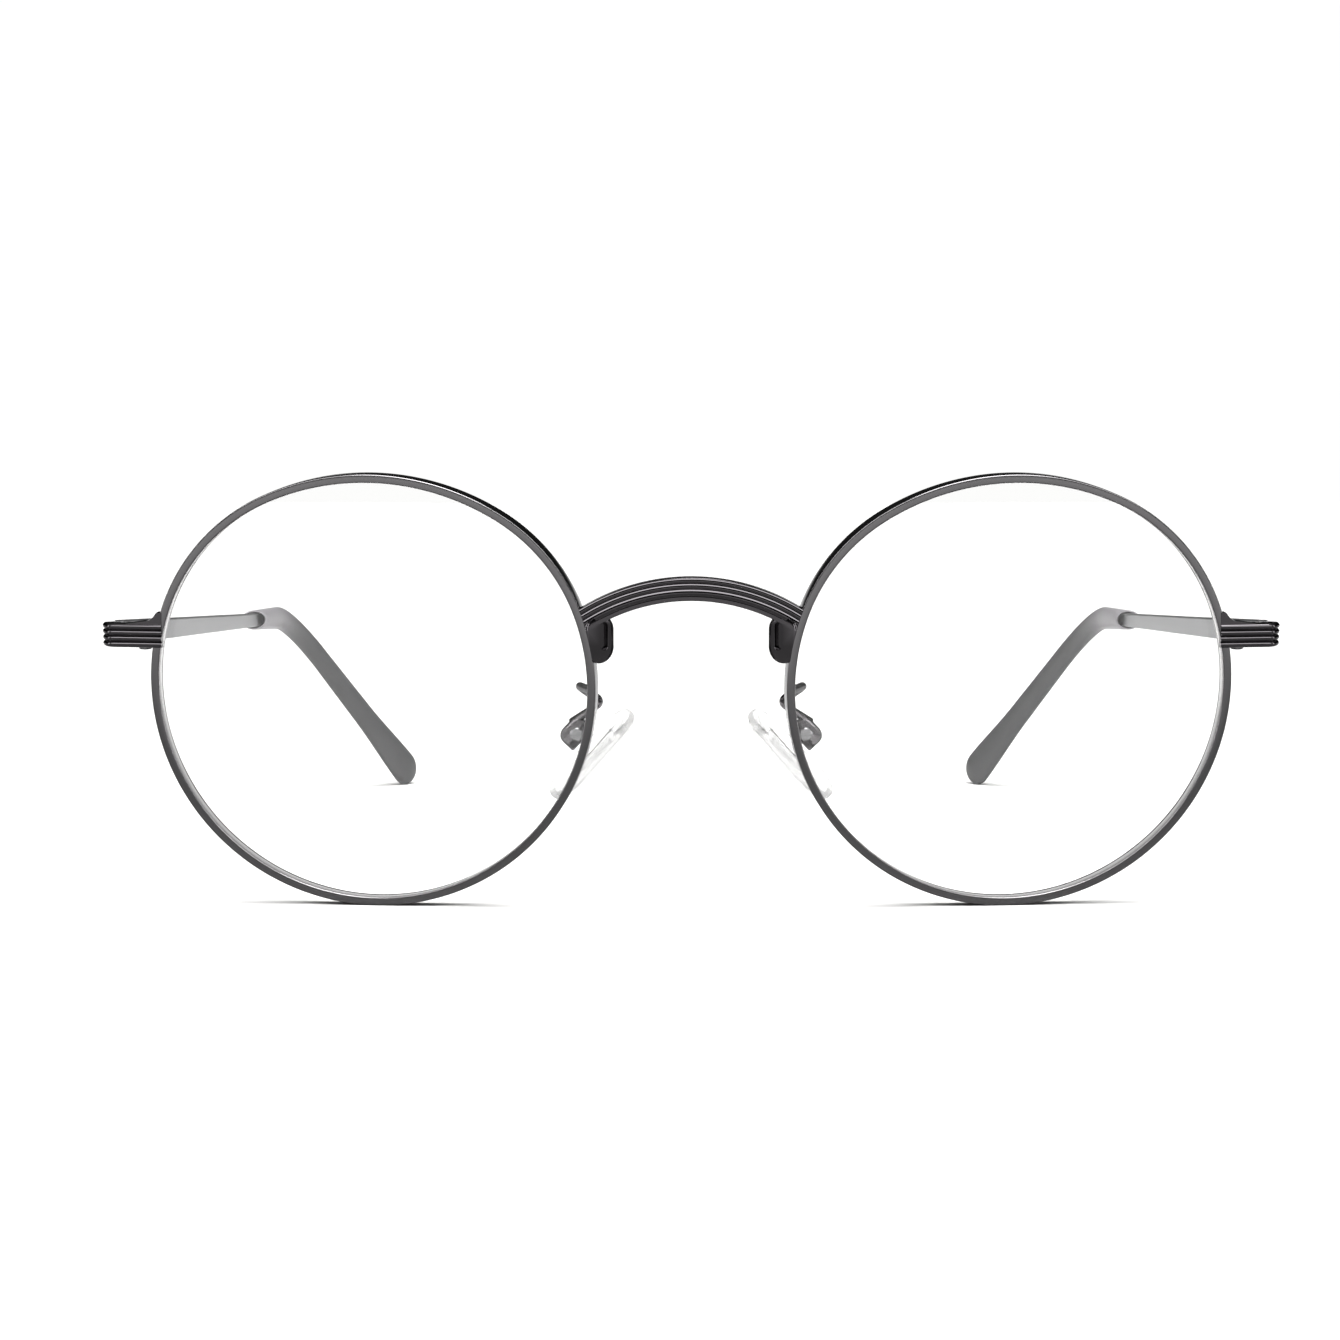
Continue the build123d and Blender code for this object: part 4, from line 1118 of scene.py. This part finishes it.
# ------------------------------------------------------------------ temples
@dataclass
class Temple(Assembly):
    """A flat satin arm with its hinge half, and the moulded tip over its end."""

    inset: float = 1.15
    thickness: float = 1.25
    heights: tuple[float, float] = (2.95, 1.95)
    edge: float = 0.32
    butt: float = 0.04
    to_tip: float = 84.0
    to_bend: float = 18.0
    bend: float = 16.0
    drop: float = 24.5
    turn_in: float = 50.0
    tip_thickness: float = 2.6
    mouth_thickness: float = 3.5
    tip_heights: tuple[float, ...] = (2.95, 3.5, 4.2, 6.2)
    cap: float = 2.6
    slant: float = 32.0
    slant_fades: float = 0.6
    sleeve_bore: tuple[float, float] = (1.5, 1.25)
    sleeve_depth: float = 3.0
    arm_steps: int = 24
    around: int = 48
    bend_steps: int = 16
    drop_steps: int = 24
    cap_steps: int = 10
    settle_rounds: int = 30
    first_fall: float = 35.0
    past_mouth: float = 5.0

    @property
    def arm_seat(self) -> Matrix:
        """Axes at the butt: in to the head, up the arm's height, back along it."""
        toe = radians(LAYOUT.toe)
        across = Vector((1, 0, 0))
        return seat(LAYOUT.hinge + across * (self.inset + self.thickness / 2),
                    -across * cos(toe) - LAYOUT.back * sin(toe), LAYOUT.back * cos(toe) - across * sin(toe))

    def build(self) -> None:
        """Makes and dresses the arm and its tip, and the hinge halves."""
        body = Body.TEMPLE.of(self.side)
        fit(self.make_arm(), Finish.SATIN, body, self.named("temple"))
        fit(self.make_tip(), Finish.TIP, body, self.named("temple_tip"))
        carry(self.named("hinge_rear"), Finish.SATIN)
        carry(self.named("hinge_front"), Finish.SHADED_GUNMETAL)

    def make_arm(self) -> Object:
        """The tapering arm with eased edges."""
        last = self.to_tip + self.past_mouth
        toe = tan(radians(LAYOUT.toe))
        rings = []
        for i in range(self.arm_steps + 1):
            along = last * i / self.arm_steps
            height = self.heights[0] + (self.heights[1] - self.heights[0]) * i / self.arm_steps
            outline = rounded_box(self.thickness, height, self.edge)
            if i == 0:
                # the butt end is square to the side of the frame, not to the arm
                rings.append([self.arm_seat @ Vector((x, y, self.butt + x * toe)) for x, y in outline])
            else:
                rings.append(placed(outline, self.arm_seat, along))
        form = bmesh.new()
        skin(form, rings)
        return piece_from(self.named("satin_arm"), form, self.side, 40.0)

    def course(self) -> tuple[Matrix, Matrix, Vector, Vector, float]:
        """The tip's way: it bends and falls just so far that its end rests on the table.

        Returns:
            The seats at the bend's start and end, the bend's centre and axis, and its turn in radians.
        """
        start = self.arm_seat @ Matrix.Translation((0, 0, self.to_tip + self.to_bend))
        axes = start.to_3x3()
        across, along = axes.col[0], axes.col[2]
        inward, fall = radians(self.turn_in), radians(self.first_fall)
        halves = (self.tip_thickness / 2, self.tip_heights[-1] / 2, self.cap)
        for _ in range(self.settle_rounds):
            down = Vector((-sin(inward) * cos(fall), cos(inward) * cos(fall), -sin(fall)))
            turn = along.angle(down)
            axis = along.cross(down).normalized()
            turned = Matrix.Rotation(turn, 3, axis) @ across
            ways = (turned, down.cross(turned), down)
            rest = sqrt(sum((size * way.z) ** 2 for size, way in zip(halves, ways)))
            tangent = self.bend * tan(turn / 2)
            knee = start.translation + along * tangent
            fall = asin((knee.z - rest) / (tangent + self.drop))
        end = seat(knee + down * tangent, turned, down)
        sideways = (down - along * along.dot(down)).normalized()
        return start, end, start.translation + sideways * self.bend, axis, turn

    def make_tip(self) -> Object:
        """The oval sleeve: a slanted mouth, a bend, and a drop that broadens to a rounded end."""
        start, end, centre, axis, turn = self.course()
        mouth, knee, middle, last = self.tip_heights
        slant = tan(radians(self.slant))
        steps = self.around

        def mouth_ring(width: float, height: float, shift: float) -> Ring:
            """A slanted ring at the mouth, moved back by a shift."""
            points = []
            for x, y in oval(width, height, steps):
                points.append(start @ Vector((x, y, -self.to_bend + x * slant + shift)))
            return points

        # the inside of the mouth, its rounded lip, and the outside as far as the bend
        wide = self.mouth_thickness
        bore_width, bore_height = self.thickness * self.sleeve_bore[0], self.heights[1] * self.sleeve_bore[1]
        rings = [mouth_ring(bore_width, bore_height, self.sleeve_depth)]
        for inset, shift in ((0.9, 1.6), (0.62, 0.5), (0.5, 0.1), (0.34, 0.0), (0.14, 0.06), (0.0, 0.28)):
            rings.append(mouth_ring(wide - inset * 1.2, mouth - inset, shift))
        for share in (0.22, 0.4, 0.6, 0.8, 1.0):
            width = wide + (self.tip_thickness - wide) * share
            height = mouth + (knee - mouth) * share
            leaning = slant * max(0.0, 1 - share / self.slant_fades)
            rings.append([start @ Vector((x, y, x * leaning - self.to_bend * (1 - share)))
                          for x, y in oval(width, height, steps)])
        for i in range(1, self.bend_steps + 1):
            turned = Matrix.Rotation(turn * i / self.bend_steps, 4, axis)
            swing = Matrix.Translation(centre) @ turned @ Matrix.Translation(-centre)
            rings.append(placed(oval(self.tip_thickness, knee, steps), swing @ start))
        for i in range(1, self.drop_steps + 1):
            share = i / self.drop_steps
            if share < 0.5:
                height = knee + (middle - knee) * share / 0.5
            else:
                flare = (share - 0.5) / 0.5
                height = middle + (last - middle) * (0.35 * flare + 0.65 * flare * flare * (3 - 2 * flare))
            rings.append(placed(oval(self.tip_thickness, height, steps), end, self.drop * share))
        for i in range(1, self.cap_steps):
            angle = pi / 2 * i / self.cap_steps
            outline = oval(self.tip_thickness * cos(angle), last * cos(angle), steps)
            rings.append(placed(outline, end, self.drop + self.cap * sin(angle)))
        form = bmesh.new()
        skin(form, rings)
        return piece_from(self.named("moulded_tip"), form, self.side, 60.0)


# ------------------------------------------------------------------ nose pads
@dataclass
class NosePad(Assembly):
    """A clear pad on its insert, in a box at the end of a bent wire."""

    spread: float = 12.0
    drop: float = 8.8
    angle: float = 43.5
    splay: float = 12.0
    length: float = 14.0
    width: float = 7.4
    top_share: float = 0.74
    thickness: float = 1.9
    pivot_out: float = 3.1
    pivot_up: float = 0.6
    lug: float = 1.1
    box_length: float = 3.7
    box_out: float = 1.65
    box_in: float = 1.1
    box_wall: float = 0.6
    box_clearance: float = 0.08
    crown: float = 1.15
    ease: float = 0.5
    wire: float = 0.5
    wire_bend: float = 1.2
    foot_at: float = 181.0
    loop: Triple = (2.1, 3.8, 0.5)
    dip: Triple = (-2.95, 2.5, -2.3)
    meets_box: float = 0.6
    round_off: float = 0.8
    curve_steps: int = 8

    @property
    def out(self) -> Vector:
        """Out from the nose."""
        return Vector((cos(radians(self.angle)), 0, sin(radians(self.angle))))

    @property
    def up(self) -> Vector:
        """Up along the pad."""
        return Vector((-sin(radians(self.angle)), 0, cos(radians(self.angle))))

    @property
    def middle(self) -> Vector:
        """The pad's middle."""
        return Vector((self.spread, LAYOUT.pad_back, LAYOUT.lens_centre.z - self.drop))

    @property
    def pivot(self) -> Vector:
        """The screw's axis."""
        return self.middle + self.out * self.pivot_out + self.up * self.pivot_up

    @property
    def box_across(self) -> float:
        """Half the box's size along the screw."""
        return self.lug / 2 + self.box_clearance + self.box_wall

    def build(self, tree: ShapeTree) -> None:
        """Makes and dresses the pad, its box and its arm."""
        front = Body.FRONT.of(self.side)
        fit(self.make_pad(), Finish.PAD, Body.PAD.of(self.side), self.named("nose_pad"))
        carry(self.named("pad_insert"), Finish.PAD)
        fit(self.make_box(), Finish.SHADED_GUNMETAL, front, self.named("pad_box"))
        fit(self.make_arm(tree), Finish.SHADED_GUNMETAL, front, self.named("pad_arm"))

    def make_pad(self) -> Object:
        """The pad: egg-shaped, with full round edges and a slightly hollow middle."""
        splay = radians(self.splay)
        face = self.out * cos(splay) - Vector((0, 1, 0)) * sin(splay)
        where = seat(self.middle, -self.up, face)
        half, round_off = self.thickness / 2, self.round_off
        rows = [(0.86, -half * 0.93), (0.6, -half * 0.86), (0.3, -half * 0.82)]
        rings = [placed(self.outline(share), where, rise) for share, rise in reversed(rows)]
        for i in range(self.curve_steps + 1):
            turn = radians(-90 + 180 * i / self.curve_steps)
            middle = self.curve_steps // 2
            flat = (half - round_off) * ((i > middle) - (i < middle))
            rings.append(placed(self.outline(1.0, round_off * (1 - cos(turn))), where,
                                flat + round_off * sin(turn)))
        rings += [placed(self.outline(share), where, -rise) for share, rise in rows]
        form = bmesh.new()
        skin(form, rings)
        return piece_from(self.named("clear_pad"), form, self.side, 60.0)

    def outline(self, share: float, inset: float = 0.0) -> Outline:
        """The egg shape, longer end down.

        Args:
            share: its size, as a share of the whole.
            inset: how far it is drawn in from its edge.

        Returns:
            The outline's points.
        """
        low_round = self.width / 2
        high_round = low_round * self.top_share
        low_at, high_at = self.length / 2 - low_round, high_round - self.length / 2
        tilt = asin((low_round - high_round) / (low_at - high_at))
        points = []
        for i in range(20):
            angle = -(pi / 2 + tilt) + (pi + 2 * tilt) * i / 19
            points.append((low_at + (low_round - inset) * cos(angle), (low_round - inset) * sin(angle)))
        for i in range(16):
            angle = pi / 2 + tilt + (pi - 2 * tilt) * i / 15
            points.append((high_at + (high_round - inset) * cos(angle), (high_round - inset) * sin(angle)))
        return [(x * share, y * share) for x, y in points]

    def make_box(self) -> Object:
        """The rounded cup round the insert's lug."""
        where = seat(self.pivot, -self.up, self.out)
        length, across, wall = self.box_length, 2 * self.box_across, self.box_wall
        inner = rounded_box(length - 2 * wall, across - 2 * wall, 0.25)
        rows = [(inner, self.box_out - wall), (inner, -self.box_in + 0.12)]
        rows.append((rounded_box(length - 2 * wall + 0.24, across - 2 * wall + 0.24, 0.3), -self.box_in))
        rows.append((rounded_box(length - 0.24, across - 0.24, 0.4), -self.box_in))
        rows.append((rounded_box(length, across, 0.5), -self.box_in + 0.14))
        for i in range(self.curve_steps + 1):
            turn = radians(90 * i / self.curve_steps)
            drawn = 1 - cos(turn)
            corner = max(0.1, self.ease * (1 - 0.6 * drawn))
            outline = rounded_box(length - 2 * self.crown * drawn, across - 2 * self.ease * drawn, corner)
            rows.append((outline, self.box_out - self.crown + self.crown * sin(turn)))
        form = bmesh.new()
        skin(form, [placed(outline, where, rise) for outline, rise in rows])
        return piece_from(self.named("pad_cup"), form, self.side, 50.0)

    def make_arm(self, tree: ShapeTree) -> Object:
        """The bent wire from the rim's back to the box."""
        foot = heading(self.foot_at) * (LAYOUT.eye_radius + LAYOUT.wall / 2)
        start = LAYOUT.rim_seat @ (foot - Vector((0, 0, LAYOUT.depth - self.wire)))
        loop = start + Vector(self.loop)
        dip = loop + Vector(self.dip)
        end = self.pivot + self.out * (self.box_out - self.wire / 2) + self.up * self.meets_box
        path = path_object([start, loop, dip, end], False)
        mesh = tree.grow(path, MATERIALS[Finish.SHADED_GUNMETAL], Wire_Radius=self.wire, Bend_Radius=self.wire_bend)
        to_frame(mesh, self.side, 50.0)
        return make_object(self.named("pad_wire"), mesh)


# ------------------------------------------------------------------ screws
@dataclass
class Screws:
    """The slotted heads of the hinge, closing and pad screws on the front."""

    pad: NosePad
    hinge_head: float = 0.94
    head: float = 0.95
    hinge_radius: float = 0.85
    small_radius: float = 0.8
    lock_sink: float = 0.25
    pad_proud: float = 0.15

    def spots(self) -> list[tuple[Vector, Vector, float]]:
        """Each head's place and axis on the left side, and its radius."""
        slope = radians(LAYOUT.slope)
        hinge_up = Vector((0, sin(slope), cos(slope)))
        lock_low, lock_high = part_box("left_lock_screw")
        lock = (lock_low + lock_high) / (2 * MM) - Vector((0, LAYOUT.setback, 0))
        lock_length = (lock_high.z - lock_low.z) / MM
        forward = Vector((0, -1, 0))
        pad_head = self.pad.box_across + self.pad_proud
        return [(LAYOUT.hinge + hinge_up * self.hinge_head, hinge_up, self.hinge_radius),
                (lock - LAYOUT.up * (lock_length / 2 - self.lock_sink), -LAYOUT.up, self.small_radius),
                (self.pad.pivot + forward * pad_head, forward, self.small_radius)]

    def build(self, tree: ShapeTree) -> None:
        """Makes all six heads as one piece on the front."""
        cloud = bpy.data.meshes.new("screw_spots")
        spots, turns, grades = [], [], []
        for side in Side:
            for place, axis, radius in self.spots():
                flip = Vector((side.value, 1, 1))
                spots.append(place * flip)
                aim = (axis * flip).to_track_quat("Z", "Y").to_euler()
                turns += list(aim)
                grades.append(radius / self.head)
        cloud.from_pydata(spots, [], [])
        cloud.attributes.new("turn", "FLOAT_VECTOR", "POINT").data.foreach_set("vector", turns)
        cloud.attributes.new("grade", "FLOAT", "POINT").data.foreach_set("value", grades)
        mesh = tree.grow(make_object("screw_spots", cloud), MATERIALS[Finish.TURNED], Head_Radius=self.head)
        to_frame(mesh, Side.LEFT, 25.0)
        heads = make_object("screw_heads", mesh)
        names = [f"{side.word}_{kind}_screw" for side in Side for kind in ("hinge", "lock", "pad")]
        fit(heads, Finish.TURNED, Body.FRONT.value, *names)


# ------------------------------------------------------------------ studio
@dataclass
class Studio:
    """The pale table, the soft lights and the camera."""

    distance: float = 320.0
    eye: float = 50.5
    pitch: float = 3.95
    lens: float = 73.2
    shift: float = -0.0158
    table: float = 6.0
    sun: float = 3.3
    sun_angle: float = 40.0
    box_top: float = 8.5
    box_side: float = 1.2
    middle_up: float = 0.02
    paper: Colour = (0.93, 0.925, 0.915)
    mirrored_table: tuple[tuple[float, float], ...] = ((0.0, 0.36), (0.30, 0.33), (0.38, 0.14), (0.44, 0.17),
                                                       (0.60, 0.55))
    mirrored_room: tuple[tuple[float, float], ...] = ((0.5, 0.05), (0.55, 0.015), (0.8, 0.015), (0.9, 0.25),
                                                      (1.0, 0.7))

    def build(self) -> None:
        """Sets up the whole studio."""
        self.make_table()
        self.make_sky()
        self.make_lights()
        self.make_camera()

    @staticmethod
    def ramp(wiring: Wiring, factor: NodeSocket, stops: Sequence[tuple[float, float]]) -> NodeSocket:
        """A grey that changes with a factor.

        Args:
            wiring: the tree to add to.
            factor: the value or socket that it follows.
            stops: each place along it and the grey there.

        Returns:
            The ramp's colour.
        """
        new = wiring.node("ShaderNodeValToRGB", Fac=factor)
        bands = new.color_ramp
        while len(bands.elements) < len(stops):
            bands.elements.new(0.5)
        for element, (place, grey) in zip(bands.elements, stops):
            element.position, element.color = place, (grey, grey, grey, 1)
        return new.outputs[0]

    def make_table(self) -> None:
        """A white table; to mirrored rays it is a painted grey ramp, a painted reflection of a darker room."""
        mesh = bpy.data.meshes.new("table")
        size = self.table
        corners = [(x * size, y * size, 0) for x, y in ((-1, -1), (1, -1), (1, 1), (-1, 1))]
        mesh.from_pydata(corners, [], [(0, 1, 2, 3)])
        table = make_object("table", mesh)
        material, wiring, shader = new_material("table_white")
        path = wiring.node("ShaderNodeLightPath")
        mirrored = wiring.math("SUBTRACT", path.outputs["Is Glossy Ray"], path.outputs["Is Transmission Ray"])
        away = wiring.node("ShaderNodeSeparateXYZ", Vector=wiring.node("ShaderNodeTexCoord").outputs["Object"])
        # painted reflection: to mirrored rays the table is dark close before the object, grey further off, and
        # pale behind it
        along = wiring.math("ADD", away.outputs["Y"], 0.5)
        shade = self.ramp(wiring, along, self.mirrored_table)
        wiring.feed(shader.inputs["Base Color"], blend(wiring, mirrored, self.paper, shade))
        shader.inputs["Roughness"].default_value = 0.9
        shader.inputs["Specular IOR Level"].default_value = 0.0
        mesh.materials.append(material)

    def make_sky(self) -> None:
        """White where it is seen directly or through a lens.

        The metal and the plastic mirror a white backdrop behind the object, and a dark room in front of it.
        """
        world = bpy.data.worlds.new("studio")
        bpy.context.scene.world = world
        world.use_nodes = True
        wiring = Wiring(world.node_tree)
        looked = wiring.node("ShaderNodeTexCoord").outputs["Generated"]
        way = wiring.node("ShaderNodeSeparateXYZ", Vector=looked)
        lifted = wiring.math("ADD", wiring.math("MULTIPLY", way.outputs["Z"], 0.5), 0.5)
        ahead = self.ramp(wiring, lifted, self.mirrored_room)
        rearward = wiring.math("ADD", wiring.math("MULTIPLY", way.outputs["Y"], 0.5), 0.5)
        behind = self.ramp(wiring, rearward, ((0.48, 0.0), (0.62, 1.0)))
        low = self.ramp(wiring, lifted, ((0.52, 1.0), (0.57, 0.0)))
        share = wiring.math("MULTIPLY", behind, low)
        mirrored = blend(wiring, share, ahead, (0.95, 0.95, 0.95))
        room = wiring.node("ShaderNodeBackground", Color=mirrored, Strength=1.0)
        paper = wiring.node("ShaderNodeBackground", Color=(1.0, 0.998, 0.99, 1), Strength=1.02)
        path = wiring.node("ShaderNodeLightPath")
        seen = wiring.math("MAXIMUM", path.outputs["Is Camera Ray"], path.outputs["Is Transmission Ray"])
        mix = wiring.node("ShaderNodeMixShader")
        wiring.feed(mix.inputs[0], seen)
        wiring.feed(mix.inputs[1], room.outputs[0])
        wiring.feed(mix.inputs[2], paper.outputs[0])
        outlet = wiring.node("ShaderNodeOutputWorld")
        wiring.feed(outlet.inputs["Surface"], mix.outputs[0])

    def make_lights(self) -> None:
        """A broad overhead light for the table, and long soft boxes for the metal."""
        sun = bpy.data.lights.new("overhead", "SUN")
        sun.energy, sun.angle = self.sun, radians(self.sun_angle)
        lamp = bpy.data.objects.new("overhead", sun)
        lamp.rotation_euler = (radians(4), radians(3), 0)
        bpy.context.scene.collection.objects.link(lamp)
        boxes = (("box_top", (0, -0.62, 0.62), (1.8, 0.32), self.box_top),
                 ("box_left", (-0.8, -0.3, 0.25), (0.12, 0.6), self.box_side),
                 ("box_right", (0.8, -0.3, 0.25), (0.12, 0.6), self.box_side))
        for name, place, size, power in boxes:
            light = bpy.data.lights.new(name, "AREA")
            light.shape, light.size, light.size_y, light.energy = "RECTANGLE", size[0], size[1], power
            lamp = bpy.data.objects.new(name, light)
            lamp.location = place
            aim = Vector((0, 0, self.middle_up)) - Vector(place)
            lamp.rotation_euler = aim.to_track_quat("-Z", "Y").to_euler()
            bpy.context.scene.collection.objects.link(lamp)

    def make_camera(self) -> None:
        """Looks from the front, a little above the lenses."""
        camera = bpy.data.cameras.new("camera")
        camera.lens, camera.sensor_width, camera.shift_x = self.lens, 36.0, self.shift
        camera.clip_start, camera.clip_end = 0.01, 50.0
        stand = bpy.data.objects.new("camera", camera)
        stand.location = Vector((0, LAYOUT.setback - self.distance, self.eye)) * MM
        stand.rotation_euler = (radians(90 - self.pitch), 0, 0)
        bpy.context.scene.collection.objects.link(stand)
        bpy.context.scene.camera = stand
        bpy.context.scene.view_settings.view_transform = "Standard"


def main() -> None:
    """Builds every sub-assembly in order, then the studio."""
    logging.basicConfig(level=logging.INFO, format="%(name)s: %(message)s")
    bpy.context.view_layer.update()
    eyewire, wire, ribs, screws = eyewire_tree(), bent_wire_tree(), ribbed_bar_tree(), slotted_screws_tree()
    Bridge().build()
    for side in Side:
        Eyewire(side).build(eyewire)
        Endpiece(side).build(ribs)
        Temple(side).build()
        NosePad(side).build(wire)
    Screws(NosePad(Side.LEFT)).build(screws)
    Studio().build()


if __name__ == "__main__":
    main()
